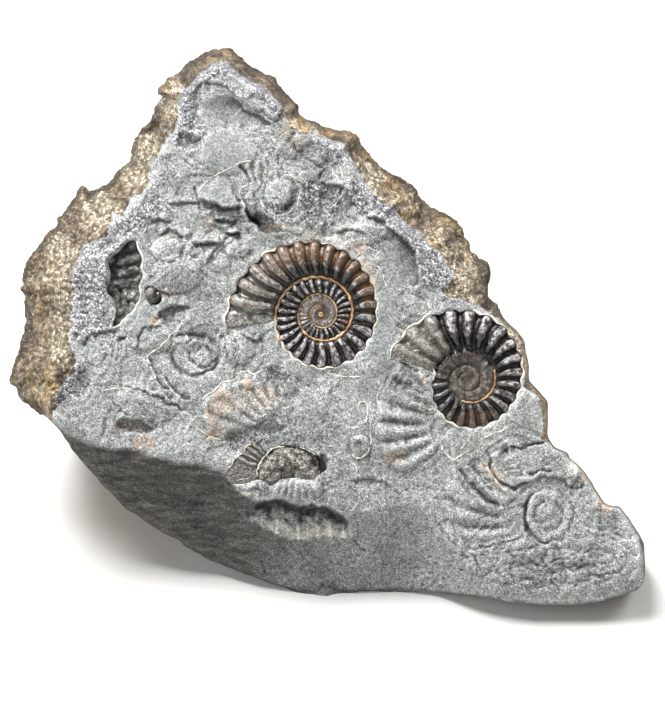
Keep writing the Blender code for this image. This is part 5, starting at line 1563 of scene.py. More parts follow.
    def hollow_parts(self, points: Points) -> tuple[Points, Points, Points, Points]:
        """Share inside the hollow, rise from foot to lip as a share, span between them, and rib height."""
        deep = within(points, self.hollow, 0.9)
        column, row = READ.pixels(points)
        lip = np.interp(column, *zip(*self.hollow_lip))
        foot = np.interp(column, *zip(*self.hollow_foot))
        rise = np.clip((foot - row) / np.maximum(foot - lip, 2.0), 0.0, 1.0)
        ribs = np.zeros(len(points))
        for x, strength in self.hollow_ribs:
            ribs += strength * ring(column, x + (x - 300) * 0.10 * (1.0 - rise), 1.7)
        return deep, rise, foot - lip, ribs

    def ribbed_hollow(self, points: Points) -> Points:
        """Hollow left by a lost shell in the wall, deepest under its upper lip, with upright ribs."""
        deep, rise, span, ribs = self.hollow_parts(points)
        depth = 2.9 * smooth(rise * 1.05) ** 1.3 * smooth(span / 16.0)
        return deep * (0.62 * ribs * smooth((1.1 - rise) / 0.6) - 0.2 - depth
                       + 0.12 * lumps(points, 1.2, 44.0))

    def print_rings(self, points: Points) -> Points:
        """Broken rings of the grey print on the lower right."""
        radius, angle = polar(points, self.print_hub, (1.06, 0.96))
        radius = radius * READ.pixels_per_mm + 0.9 * lumps(points, 1.6, 81.0)
        broken = 0.6 + 0.4 * np.cos(angle * 2.0 + 0.8)
        left = smooth((-np.cos(angle - 0.3) - 0.1) / 0.5)
        open_side = 1.0 - smooth((np.sin(angle) - 0.55) / 0.25)
        rings = 0.25 * smooth((13 - radius) / 8.0) - 0.30 * broken * ring(radius, 14.5, 1.5)
        rings += 0.34 * ring(radius, 20.5, 4.5) - 0.1 * broken * ring(radius, 6, 1.8)
        rings -= (0.08 + 0.85 * left) * ring(radius, 26.0, 1.9)
        return rings + 0.5 * open_side * np.sqrt(np.clip(1.0 - ((radius - 40.0) / 14.0) ** 2, 0.0, 1.0))

    def coil_bowl(self, points: Points) -> Points:
        """Low middle of the buried coil near the top, with a bowl on its right."""
        radius, angle = polar(points, self.coil_hub)
        radius = radius * READ.pixels_per_mm
        right = smooth((np.cos(angle + 0.5) - 0.3) / 0.5)
        return -0.9 * right * ring(radius, 14, 4.0) + 0.5 * smooth((18 - radius) / 8.0)

    def relief(self, points: Points) -> Points:
        """Height of the front of the block without its rim."""
        total = 0.45 * lumps(points, 9.0, 3.1) - self.wall_drop(points)
        bent = points + wander(points, 0.30, 1.7, 51.0, 53.0)
        bent = bent + wander(points, 0.14, 0.7, 55.0, 57.0)
        eased = points + 0.35 * (bent - points)
        halfway = 0.5 * (eased + bent)
        for form in (*self.mounds, *self.ledges, *self.grooves):
            total += form.lift(bent)
        for fan in self.fans:
            total += fan.lift(eased)
        for outline, height in self.flakes:
            total += height * within(bent, outline, 0.5)
        return total + self.ribbed_hollow(eased) + (self.print_rings(halfway) + self.coil_bowl(halfway))

    def roughness(self, points: Points, zones: dict[Zone, Points]) -> Points:
        """Small unevenness of each kind of surface, in millimetres."""
        wall = zones[Zone.WALL]
        rind = zones[Zone.RIND]
        rough = 0.12 * lumps(points, 2.6, 1.7) + 0.07 * lumps(points, 1.1, 5.2) + 0.06 * lumps(points, 0.55,
                                                                                               9.9)
        rough += self.terraces(points) * (1.0 - rind)
        rough *= 1.0 - 0.75 * zones[Zone.SMOOTH] - 0.3 * wall
        rough += zones[Zone.SUGAR] * (0.16 * lumps(points, 0.8, 2.2) + 0.10 * lumps(points, 0.45, 8.1))
        crust = 0.8 * lumps(points, 6.0, 8.7)
        for size, seed, height in ((3.4, 4.0, 0.45), (1.5, 6.0, 0.45), (0.8, 9.0, 0.30)):
            crust += height * (chips(points, size, seed) - 0.4)
        rough += rind * (crust + 0.16 * lumps(points, 0.6, 3.3))
        long_way = points * np.array([0.35, 1.0])
        wall_lumps = 0.32 * lumps(long_way, 2.2, 7.7) + 0.16 * lumps(long_way, 0.9, 6.1)
        rough += wall * (wall_lumps + 0.5 * (chips(points, 7.0, 2.0) - 0.4))
        broken = strongest(points, self.broken_marks)
        slabs = points * np.array([0.6, 1.0])
        rough += broken * (0.8 * (chips(slabs, 3.0, 12.0) - 0.4) + 0.45 * (chips(slabs, 1.3, 15.0) - 0.4))
        return rough + 0.15 * broken * lumps(slabs, 0.5, 16.0)

    def face(self, points: Points, zones: dict[Zone, Points]) -> tuple[Points, Points]:
        """Height of the whole front of the block, and how far its rim falls away at each point."""
        edge, distance, width = self.edge_band(points)
        share = smooth(distance / width) ** 0.8
        calm = smooth(distance / 0.8)
        rise = self.relief(points) - edge
        rough = self.roughness(points, zones) * (0.25 + 0.75 * calm) * calm
        return np.maximum(edge + rise * share + rough, edge), rise * (1.0 - share)

    def terraces(self, points: Points) -> Points:
        """Small uneven ledges, as limestone breaks over buried shells."""
        total = np.zeros(len(points))
        for size, seed, height, count in ((7.5, 4.4, 0.22, 2.4), (3.6, 7.3, 0.08, 1.8)):
            level = lumps(points, size, seed) * count + 0.35 * lumps(points, 0.35 * size, seed + 1.0)
            floor = np.floor(level)
            total += height * (floor + smooth((level - floor - 0.42) / 0.16) - 0.35 * (level - 0.5))
        return total

    def rear(self, points: Points) -> Points:
        """Depth of the back, which stops at the ground along each sight line."""
        edge, distance, _ = self.edge_band(points)
        turn = 1.0 - np.clip(1.0 - distance / self.back_rounding, 0.0, 1.0) ** self.back_power
        swell = 1.875 * lumps(points, 17.0, 21.3) + 0.875 * lumps(points, 7.0, 5.9)
        sine, cosine = math.sin(READ.lean), math.cos(READ.lean)
        fall = cosine + self.back_overhang * sine
        gain = (sine - self.back_overhang * cosine) / fall
        offset = (self.back_distance + self.back_overhang * READ.height) / fall
        v = points[:, 1]
        deep = (gain * v - offset) / (1.0 + gain * v / READ.distance) + swell * turn
        ground = READ.ground(v)
        return ground + np.maximum(edge + (deep - edge) * turn - ground, 0.0)

    def zones(self, points: Points) -> dict[Zone, Points]:
        """Painted zones of the front: how far each point belongs to each kind of surface."""
        line = READ.points(self.fold)
        wall = smooth((np.interp(points[:, 0], line[:, 0], line[:, 1]) - points[:, 1] + 0.3) / 1.4)
        deep, rise, _, ribs = self.hollow_parts(points + wander(points, 0.25, 1.0, 71.0, 73.0))
        wall = wall * (1.0 - deep * smooth((1.05 - rise) / 0.4))
        column = READ.pixels(points)[0] + 30.0 * lumps(points, 9.0, 61.0) + 10.0 * lumps(points, 2.5, 63.0)
        shade = 1.0 - 0.55 * smooth((column - 235.0) / 110.0) - 0.35 * smooth((column - 330.0) / 150.0)
        moved = points + wander(points, 0.75, 2.4, 31.0, 37.0)
        moved = moved + wander(moved, 0.3, 0.9, 33.0, 39.0)
        rind = np.maximum(within(moved, self.rind_left, 1.2, 0.6), within(moved, self.rind_right, 1.2, 0.6))
        # Painted light and shade in the ribbed hollow: lighter on its upturned foot, darker to near black under its
        # lip.
        painted_foot_light = deep * (0.50 + 0.35 * ribs) * smooth((0.7 - rise) / 0.45)
        painted_lip_shade = 0.85 * deep * smooth((rise - 0.52 + 0.5 * lumps(moved, 1.1, 77.0)) / 0.45)
        painted_lip_shadow = 1.25 * deep * smooth((rise - 0.40 + 0.3 * lumps(moved, 1.3, 75.0)) / 0.5)
        return {
            Zone.RIND: rind * (1.0 - wall),
            Zone.WALL: wall * shade,
            Zone.SUGAR: strongest(moved, self.sugar_marks) * (1.0 - wall),
            Zone.TAN: strongest(moved, self.tan_marks),
            Zone.PALE: np.maximum(strongest(moved, self.pale_marks), painted_foot_light),
            Zone.SMOOTH: strongest(moved, self.smooth_marks),
            Zone.DARK: np.maximum(strongest(moved, self.dark_marks), painted_lip_shade),
            Zone.SHADOW_AND_DARKENING: np.maximum(strongest(moved, self.shadow_and_darkening_marks), painted_lip_shadow),
            Zone.CREAM: strongest(moved, self.cream_marks),
            Zone.RUST: strongest(moved, self.rust_marks),
        }

    def rear_zones(self, places: Points) -> dict[Zone, Points]:
        """Painted zones of the back: rind above, broken stone below."""
        flat = places / MM
        broken = smooth((7.0 - flat[:, 2] + 9.0 * lumps(flat, 9.0, 2.0) + 4.0 * lumps(flat, 3.0, 4.0)) / 12.0)
        zones = {zone: np.zeros(len(places)) for zone in Zone}
        zones[Zone.RIND] = 1.0 - broken
        zones[Zone.WALL] = broken * 0.35
        zones[Zone.CREAM] = smooth(lumps(flat, 12.0, 5.0) * 1.6)
        zones[Zone.RUST] = smooth(lumps(flat, 15.0, 7.0) * 1.4)
        return zones

    def rim(self) -> Points:
        """Outline of the block with a broken edge, counter-clockwise."""
        loop = counter_clockwise(catmull(READ.points(self.outline), self.rim_step, closed=True))
        width = self.edge_band(loop)[2]
        crust = smooth((width - 1.5) / 1.5)
        jitter = (0.10 + 0.10 * crust) * lumps(loop, 1.6, 12.0) + 0.16 * crust * lumps(loop, 0.6, 14.0)
        return loop + (offset_loop(loop, 1.0) - loop) * jitter[:, None]

    def front_grid(self, rim: Points, inner: Points, lips: Sequence[Points]) -> Points:
        """Points of the front: a ring inside the rim, and a fine grid clear of rim and beds."""
        loose = triangle_grid(rim.min(axis=0), rim.max(axis=0), self.face_step)
        loose = loose[inside(loose, inner)]
        loose = loose[to_path(loose, rim[::2], closed=True)[0] > 0.75]
        for lip in lips:
            near = near_to(loose, lip, 1.0)
            some = loose[near]
            keep = np.ones(len(loose), dtype=bool)
            keep[near] = (to_path(some, lip, closed=True)[0] > 0.2) & ~inside(some, lip)
            loose = loose[keep]
        return np.concatenate([inner, loose])

    def rear_grid(self, rim: Points, inner: Points) -> Points:
        """Points of the back: two rings inside the rim, and a coarse grid."""
        loose = triangle_grid(rim.min(axis=0), rim.max(axis=0), self.rear_step)
        loose = loose[inside(loose, inner)]
        loose = loose[to_path(loose, rim[::2], closed=True)[0] > 1.0]
        return np.concatenate([inner, offset_loop(rim, -1.0), loose])

    def build(self, finish: bpy.types.Material) -> bpy.types.Object:
        """Model the block and put it in place of its CAD node. Front and back share the rim's vertices."""
        rim = self.rim()
        inner = offset_loop(rim, -self.rim_inset)
        lips = [outline for outline, _ in self.beds]
        loops = [rim]
        fixed = dict(enumerate(self.edge_band(rim)[0]))
        first = len(rim)
        for lip, floor in self.beds:
            loops += [lip, offset_loop(lip, -self.bed_inset)]
            fixed.update({i: floor for i in range(first + len(lip), first + 2 * len(lip))})
            first += 2 * len(lip)
        front, sources, front_faces = triangulate(loops, self.front_grid(rim, inner, lips))
        zones = self.zones(front)
        depth, fall = self.face(front, zones)
        side = smooth((fall - 2.0) / 1.5)
        zones[Zone.RIND] = np.maximum(zones[Zone.RIND], side * (1.0 - zones[Zone.WALL]))
        zones[Zone.SUGAR] = zones[Zone.SUGAR] * (1.0 - side)
        depth = np.array([fixed.get(source, own) for source, own in zip(sources, depth)])
        places = self.craggy(READ.world(front, depth), side * smooth(self.edge_band(front)[1] / 1.5))
        rim_number = {source: number for number, source in enumerate(sources) if 0 <= source < len(rim)}
        rear, rear_sources, rear_faces = triangulate([rim], self.rear_grid(rim, inner))
        rear_places = self.knobbly(READ.world(rear, self.rear(rear)), self.edge_band(rear)[1])
        numbers = np.array([rim_number.get(source, -1) for source in rear_sources])
        fresh = numbers < 0
        numbers[fresh] = len(places) + np.arange(fresh.sum())
        rear_places = rear_places[fresh]
        faces = front_faces + [tuple(int(numbers[i]) for i in reversed(f)) for f in rear_faces]
        cavity = self.cavity(depth, front_faces)
        # Less painted ridge highlight and hollow shade inside the ribbed hollow.
        cavity[:len(front)] *= 1.0 - 0.75 * within(front, self.hollow, 1.5)
        zones[Zone.CAVITY] = cavity
        rear_zones = self.rear_zones(rear_places)
        marks = {zone: np.concatenate([values, rear_zones[zone]]) for zone, values in zones.items()}
        piece = add_piece("limestone_block", np.concatenate([places, rear_places]), faces, finish, marks)
        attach(piece, "root")
        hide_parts("stone")
        return piece

    def cavity(self, depth: Points, faces: Sequence[tuple[int, ...]]) -> Points:
        """How far each vertex of the front stands over the mean of its surroundings, from -1 to 1.

        Args:
            depth: Height of each vertex.
            faces: Triangles by vertex number.

        Returns:
            One value for each vertex.
        """
        triangles = np.array(faces)
        start = triangles.ravel()
        end = np.roll(triangles, -1, axis=1).ravel()
        count = len(depth)
        ways = np.maximum(np.bincount(start, minlength=count) + np.bincount(end, minlength=count), 1)
        mean = depth.copy()
        value = np.zeros(count)
        measures = dict(zip(self.cavity_rounds, zip(self.cavity_heights, self.cavity_weights)))
        for done in range(1, max(self.cavity_rounds) + 1):
            total = np.bincount(start, mean[end], count) + np.bincount(end, mean[start], count)
            mean = 0.5 * mean + 0.5 * total / ways
            if done in measures:
                height, weight = measures[done]
                value += weight * np.clip((depth - mean) / height, -1.0, 1.0)
        return np.clip(value, -1.0, 1.0)

    def craggy(self, places: Points, share: Points) -> Points:
        """Roughen the falling sides in space, so that they don't look drawn out of the outline.

        Args:
            places: Vertices of the front in metres.
            share: How far each of them takes part, from 0 to 1.

        Returns:
            The moved vertices.
        """
        moved = np.flatnonzero(share > 0.01)
        raw = places[moved] / MM
        result = places.copy()
        result[moved] += (pushes(raw, 4.3) + 0.45 * pushes(raw, 1.7)) * share[moved, None] * MM
        return result

    def knobbly(self, places: Points, distance: Points) -> Points:
        """Roughen the back in space, fading out at the rim and at the ground.

        Args:
            places: Vertices of the back in metres.
            distance: Distance of each from the rim in millimetres.

        Returns:
            The moved vertices.
        """
        room = np.minimum(distance, np.maximum(places[:, 2] / MM, 0.0))
        fade = (np.minimum(room, 8.0) / 8.0)[:, None]
        near = (np.minimum(room, 2.0) / 2.0)[:, None]
        raw = places / MM + np.array([READ.middle_x, READ.middle_y, 0.0])
        chip = (chips(raw, 5.0, 3.0) - 0.4)[:, None] * np.array([[0.0, 1.0, 0.2]]) * 1.2
        return places + (2.4 * pushes(raw, 11.0) * fade + (1.1 * pushes(raw, 3.2) + chip) * near) * MM


@dataclass
class BrokenShell:
    """A broken shell with a relief of its own inside an outline.

    Attributes:
        name: Name of the piece.
        node: CAD node that it replaces.
        slot: Slot of its finish; not used.
        floor: Depth of its bed's floor.
        outline: Readings round it.
        step: Spacing of its mesh in millimetres.
        skirt: How far its sides reach under its lowest point.
    """

    name: str
    node: str
    slot: str
    floor: float
    outline: Path
    step: float = 0.22
    skirt: float = 1.4

    def loop(self) -> Points:
        """Outline on the face."""
        return counter_clockwise(catmull(READ.points(self.outline), 0.3, closed=True))

    def bed(self) -> tuple[Points, float]:
        """Outline of its bed, and the depth of the bed's floor."""
        return self.loop()[::2], self.floor

    def height(self, points: Points) -> Points:
        """Relief of the shell."""
        raise NotImplementedError

    def tone(self, points: Points) -> dict[Tone, Points]:
        """Painted tones of the shell."""
        raise NotImplementedError

    def build(self, finish: bpy.types.Material) -> bpy.types.Object:
        """Model the shell and put it in place of its CAD node. Its floor mirrors its top's faces."""
        loop = self.loop()
        loose = triangle_grid(loop.min(axis=0), loop.max(axis=0), self.step)
        loose = loose[inside(loose, loop)]
        loose = loose[to_path(loose, loop, closed=True)[0] > 0.12]
        flat, _, faces = triangulate([loop], loose)
        top = self.height(flat)
        count = len(flat)
        base = float(top.min()) - self.skirt
        places = np.concatenate([READ.world(flat, top), READ.world(flat, np.full(count, base))])
        ways = [(a, b) for face in faces for a, b in zip(face, face[1:] + face[:1])]
        known = set(ways)
        sides = [(b, a, a + count, b + count) for a, b in ways if (b, a) not in known]
        under = [tuple(i + count for i in reversed(f)) for f in faces]
        marks = {k: np.concatenate([v, v]) for k, v in self.tone(flat).items()}
        piece = add_piece(self.name, places, faces + sides + under, finish, marks)
        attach(piece, "root")
        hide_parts(self.node)
        return piece


@dataclass
class LowerShell(BrokenShell):
    """Small broken shell under the centre: a fan of ribs, a smooth lens and the arch of its inner whorl."""

    name: str = "lower_shell"
    node: str = "ammonite_lower"
    slot: str = "mottled_shell"
    floor: float = -2.4
    outline: Path = (
        (225, 477), (227, 469), (234, 460), (241, 453), (247, 446), (257, 440), (263, 449), (268,
                                                                                             452), (276,
                                                                                                    447),
        (286, 445), (300, 446), (313, 452), (322, 459), (327, 469), (319, 475), (312, 480), (298,
                                                                                             478), (283,
                                                                                                    479),
        (270, 481), (257, 480), (244, 484), (231, 483),
    )
    hub: tuple[float, float] = (288, 477)
    core: float = 31.0
    dark_crescent: Path = ((314, 452), (320, 455), (326, 462), (328, 472), (322, 476), (319, 466))

    def parts(self, points: Points) -> tuple[Points, Points, Points, Points]:
        """Distance from the hub in pixels, rib height, share of the lens, and of the dark crescent."""
        bent = points + wander(points, 0.25, 1.3, 21.0, 23.0)
        radius, angle = polar(bent, self.hub)
        radius = radius * READ.pixels_per_mm
        wave = 1.0 - np.abs(np.cos(0.5 * (angle * 46.0 + radius * 0.02))) ** 1.6
        whole = np.degrees(np.where(angle < 0.0, angle + 2.0 * math.pi, angle))
        lens = smooth((whole - 160.0) / 7.0) * (radius > self.core)
        return radius, wave, lens, Patch(self.dark_crescent, 1.0, 0.4).paint(bent)

    def height(self, points: Points) -> Points:
        """Relief of the shell."""
        radius, wave, lens, crescent = self.parts(points)
        ribs = 0.1 + 0.7 * wave * smooth((radius - 30) / 6.0) - 0.9 * smooth((34 - radius) / 3.0)
        whorl = ribs * (1.0 - lens) + lens * (0.35 + 0.015 * lumps(points * np.array([0.3, 1.4]), 1.3, 8.0))
        arch = 1.6 * np.clip(1.0 - ((radius - 19) / 12.5) ** 2, 0.0, 1.0) ** 0.7
        broken = 0.40 * lumps(points, 1.2, 4.4) + 0.45 * (chips(points, 0.9, 3.0)
                                                          - 0.4) + 0.2 * lumps(points, 0.5, 9.0)
        inner = -0.5 + arch + broken
        return np.where(radius > self.core, whorl, inner) * (1.0 - crescent) - 1.1 * crescent - 0.3

    def tone(self, points: Points) -> dict[Tone, Points]:
        """Painted tones: mottled black and grey, brown at the broken foot, painted shade in the sunken crescent."""
        radius, wave, lens, crescent = self.parts(points)
        mottled = smooth(0.72 + 0.9 * lumps(points, 1.3, 7.0) + 0.5 * lumps(points, 0.35, 17.0))
        outer = radius > self.core
        # Painted shade: the sunken crescent is painted near black and its other tones are put out.
        lit = 1.0 - crescent
        brown = np.maximum(Blot(275, 474, 9, 5).paint(points), Blot(264, 477, 8, 4).paint(points))
        return {Tone.CREST: np.where(outer, np.maximum(wave * (1.0 - lens), 0.25 * lens), mottled) * lit,
                Tone.AMBER: brown * 0.5, Tone.OLIVE: np.where(outer, 0.4 - 0.25 * lens, 0.1) * lit,
                Tone.DULL: np.where(outer, 0.35 + 0.05 * lens,
                                    mottled * 0.95) * lit, Tone.DEEP: 0.9 * crescent}


@dataclass
class LeftShell(BrokenShell):
    """Broken black fragment beside the left rind, with level ribs."""

    name: str = "left_shell"
    node: str = "ammonite_left"
    slot: str = "black_shell"
    floor: float = -3.2
    outline: Path = (
        (135, 241), (138, 249), (142, 258), (141, 269), (143, 277), (139, 287), (140, 297), (135,
                                                                                             307), (129,
                                                                                                    315),
        (119, 324), (112, 327), (116, 312), (113, 300), (106, 291), (109, 283), (110, 272), (108,
                                                                                             261), (118,
                                                                                                    252),
        (128, 242),
    )
    rib_pitch: float = 12.6
    torn_row: float = 281.0

    def parts(self, points: Points) -> tuple[Points, Points, Points]:
        """Rib height from 0 to 1, share of the torn lower half, and the torn surface."""
        column, row = READ.pixels(points)
        row = row + 0.22 * (column - 125.0) + 3.0 * lumps(points, 2.6, 2.0)
        wave = 1.0 - np.abs(np.cos(math.pi * (row - 240.0) / self.rib_pitch)) ** 3.0
        return wave, smooth((row - self.torn_row) / 8.0), chips(points, 1.5, 2.0)

    def height(self, points: Points) -> Points:
        """Relief of the fragment."""
        wave, torn, jags = self.parts(points)
        lip = smooth(to_path(points, self.loop(), closed=True)[0] / 1.6)
        fall = smooth((READ.pixels(points)[0] - 108.0) / 26.0)
        ribs = 0.95 * wave * (1.0 - 0.55 * torn) * (0.4 + 0.6 * fall)
        rough = (0.5 * lumps(points, 1.5, 6.2) + 1.1 * (jags - 0.35)) * (0.12 + 0.88 * torn)
        return -2.3 + 0.7 * fall + (ribs + rough) * lip

    def tone(self, points: Points) -> dict[Tone, Points]:
        """Painted tones: black with grey crests and pale torn edges."""
        wave, torn, jags = self.parts(points)
        crest = smooth(0.55 + 0.9 * lumps(points, 1.0, 12.0)) * wave
        dull = np.maximum(0.95 * ring(jags, 0.3, 0.12) * torn, 0.5 * crest * (1.0 + 0.3 * torn))
        return {Tone.CREST: crest, Tone.AMBER: np.zeros(len(points)), Tone.OLIVE: 0.25 * wave,
                Tone.DULL: dull}


@dataclass
class Bead(BrokenShell):
    """Glossy grain of shell."""

    name: str = "bead"
    node: str = "shell_bead"
    slot: str = "bead_shell"
    floor: float = -1.4
    outline: Path = (
        (145, 290), (148, 286), (153, 286), (157, 290), (161, 295), (162, 300), (159, 304), (154,
                                                                                             305), (149,
                                                                                                    302),
        (146, 297),
    )

    def height(self, points: Points) -> Points:
        """Relief of the grain."""
        body = Mound(152, 295, 9.5, 11.0, 1.0, -40.0).share(points)
        return 1.5 * body ** 0.5 - 0.5 + 0.25 * lumps(points, 0.9, 4.0) * smooth(body * 3.0)

    def tone(self, points: Points) -> dict[Tone, Points]:
        """Painted tones: brown, with a painted highlight on its upper left."""
        # Painted highlight on the upper left, the side towards the light.
        pale = Blot(148, 291, 7, 6).paint(points)
        return {Tone.CREST: 0.7 * pale, Tone.AMBER: np.full(len(points), 0.25), Tone.OLIVE: 0.5 * pale,
                Tone.DULL: 0.5 * pale}


@dataclass
class EdgeLines:
    """Thin edges of cut shell that stand a little proud of the stone, drawn as fine round threads.

    Attributes:
        block: The stone that the lines lie on.
        step: Spacing of the points along a line in millimetres.
        sides: Sides of a thread.
        lines: Readings along each line on the face, and its width in pixels.
    """

    block: Block
    step: float = 0.22
    sides: int = 5

    lines: tuple = (
        (((147, 221), (145, 230), (138, 239)), 0.7),
        (((136, 241), (138, 247), (141, 253), (143, 259), (142, 267), (144, 275), (142, 281), (140, 286),
            (141, 293), (140, 299), (137, 304), (135, 310), (130, 314), (124, 319), (119, 325), (112, 328)),
            1.3),
        (((200, 197), (199, 192), (202, 186), (207, 181)), 1.0),
        (((212, 177), (224, 171), (232, 167), (240, 163), (249, 161), (256, 162)), 0.7),
        (((251, 185), (244, 186), (240, 191), (240, 197), (243, 203), (246, 210)), 0.8),
        (((260, 197), (262, 204), (267, 210), (273, 214), (281, 215), (289, 212), (296, 206), (299, 198),
            (300, 190)), 0.9),
        (((280, 184), (281, 178), (286, 175), (292, 176), (299, 180), (304, 184)), 0.8),
        (((265, 182), (268, 176), (271, 172), (277, 170)), 0.6), (((240, 163), (242, 170)), 0.6),
        (((340, 168), (342, 174), (345, 180)), 0.8),
        (((345, 184), (342, 194), (337, 202), (329, 209)), 0.7),
        (((348, 190), (354, 201), (360, 208), (365, 213)), 0.7),
        (((372, 263), (378, 267), (381, 271), (383, 276), (384, 281), (388, 289)), 0.8),
        (((182, 241), (189, 241)), 0.8),
        (((182, 254), (187, 253), (191, 258), (196, 260), (200, 258), (201, 250), (199, 245)), 0.9),
        (((151, 250), (154, 245), (159, 240), (165, 238), (173, 239), (180, 243), (181, 248)), 0.8),
        (((164, 260), (170, 258), (176, 256), (182, 254)), 0.6),
        (((150, 285), (153, 290), (158, 294)), 0.7),
        (((152, 264), (158, 266), (163, 267), (169, 264)), 0.7),
        (((144, 331), (149, 326), (152, 320)), 0.7), (((160, 322), (164, 326), (169, 329)), 0.7),
        (((165, 343), (168, 338), (172, 333), (177, 331), (183, 332), (187, 336), (188, 341), (185, 348)),
            0.7),
        (((168, 338), (161, 346), (154, 351), (147, 357), (150, 364), (154, 375), (158, 384), (167, 391)),
            0.8),
        (((163, 377), (168, 385), (175, 394), (182, 400), (192, 401)), 0.6),
        (((221, 335), (226, 344), (228, 352), (226, 361)), 0.7),
        (((231, 333), (234, 340), (238, 346), (236, 354), (233, 361)), 0.6),
        (((100, 391), (112, 389), (124, 388), (136, 391)), 0.9),
        (((202, 400), (208, 394), (215, 390), (221, 383), (229, 381), (236, 379), (240, 373), (247, 371),
            (254, 374), (260, 371), (267, 368)), 1.0),
        (((195, 425), (202, 431), (208, 435), (215, 438), (222, 440)), 0.8),
        (((360, 411), (358, 407), (360, 403), (364, 402), (367, 405), (367, 411), (367, 417), (365, 422),
            (361, 423), (357, 421)), 0.9),
        (((367, 410), (364, 413), (360, 411)), 0.6),
        (((369, 427), (371, 435), (371, 442), (369, 449), (366, 454), (360, 458), (354, 457), (351, 452)),
            1.0),
        (((327, 373), (334, 375), (341, 376), (350, 377), (362, 376)), 1.0),
        (((408, 408), (410, 404), (414, 403), (419, 405), (420, 409), (424, 411), (425, 415)), 0.8),
        (((426, 451), (428, 448), (431, 448), (433, 451), (431, 454), (428, 454), (426, 451)), 0.6),
        (((440, 441), (442, 448), (447, 455), (455, 459), (461, 455), (466, 452), (472, 450)), 0.9),
        (((507, 423), (503, 430), (494, 433), (486, 437), (479, 441)), 0.9),
        (((384, 383), (379, 391), (377, 399), (379, 405)), 0.8),
        (((373, 414), (371, 420), (371, 426)), 0.6),
        (((403, 357), (408, 353), (415, 351), (420, 350), (425, 353), (429, 360), (432, 366), (435, 373),
            (434, 380)), 1.2),
        (((227, 476), (226, 470), (231, 466), (234, 460), (238, 456), (243, 453), (245, 448), (248, 445),
            (254, 444), (257, 439)), 1.0),
        (((257, 476), (257, 470), (260, 463), (265, 456), (271, 450), (278, 447), (286, 446)), 1.3),
        (((299, 447), (306, 449), (311, 452), (316, 455)), 1.1),
        (((310, 481), (312, 486), (316, 489)), 0.8),
        (((481, 459), (487, 466), (490, 473), (496, 481), (502, 487), (507, 492)), 0.8),
        (((236, 480), (248, 479)), 0.5), (((350, 460), (355, 465), (357, 472), (360, 479)), 0.7),
        (((199, 214), (206, 216), (211, 221)), 0.6), (((332, 455), (340, 452), (345, 446)), 0.5),
        (((325, 448), (332, 445), (338, 444)), 0.6),
    )

    def thread(self, flat: Points, height: Points, radius: Points) -> tuple[Points, list[tuple[int, ...]]]:
        """A round thread along a route.

        Args:
            flat: Face points of the route.
            height: Their heights.
            radius: Radius of the thread at each, in millimetres.

        Returns:
            Places in metres and faces.
        """
        spine = READ.world(flat, height)
        along = np.gradient(spine, axis=0)
        along /= np.maximum(np.linalg.norm(along, axis=1), 1e-12)[:, None]
        out = np.array(READ.outward())
        aside = np.cross(along, out)
        aside /= np.maximum(np.linalg.norm(aside, axis=1), 1e-12)[:, None]
        angles = [2.0 * math.pi * k / self.sides + 0.3 for k in range(self.sides)]
        reach = (radius * MM)[:, None]
        rows = [spine + (aside * math.cos(angle) + out * math.sin(angle)) * reach for angle in angles]
        faces: list[tuple[int, ...]] = []
        for i in range(len(spine) - 1):
            for k in range(self.sides):
                a = i * self.sides + k
                b = i * self.sides + (k + 1) % self.sides
                faces.append((a, b, b + self.sides, a + self.sides))
        last = (len(spine) - 1) * self.sides
        faces.append(tuple(range(self.sides)))
        faces.append(tuple(last + k for k in reversed(range(self.sides))))
        return np.stack(rows, axis=1).reshape(-1, 3), faces

    def gather(self, name: str, routes: Sequence[tuple[Points, Points, Points]], finish: bpy.types.Material) -> bpy.types.Object:
        """Join threads along several routes into one piece."""
        places: list[Points] = []
        faces: list[tuple[int, ...]] = []
        first = 0
        for flat, height, radius in routes:
            more, more_faces = self.thread(flat, height, radius)
            places.append(more)
            faces += [tuple(i + first for i in f) for f in more_faces]
            first += len(more)
        piece = add_piece(name, np.concatenate(places), faces, finish)
        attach(piece, "root")
        return piece

    def on_face(self, flat: Points, width_px: float, seed: float) -> tuple[Points, Points, Points]:
        """A route that lies on the face, with an uneven width that thins out at its ends."""
        flat = flat + 0.10 * np.stack([lumps(flat, 0.8, seed + 40.0), lumps(flat, 0.8, seed + 50.0)], axis=1)
        zones = self.block.zones(flat)
        height = self.block.face(flat, zones)[0] + 0.01 + 0.06 * lumps(flat, 1.0, seed + 60.0)
        ends = smooth(np.minimum(np.arange(len(flat)), np.arange(len(flat))[::-1]) / 6.0)
        uneven = 0.85 + 0.8 * lumps(flat, 0.7, seed)
        half = width_px / READ.pixels_per_mm * 0.62
        return flat, height, half * np.clip(uneven, 0.45, 1.5) * (0.2 + 0.8 * ends)

    def build(self, finish: bpy.types.Material) -> bpy.types.Object:
        """Model the fine shell edges on the face."""
        routes = [self.on_face(catmull(READ.points(line), self.step), width, 0.7 * number)
                  for number, (line, width) in enumerate(self.lines)]
        return self.gather("shell_edge_lines", routes, finish)

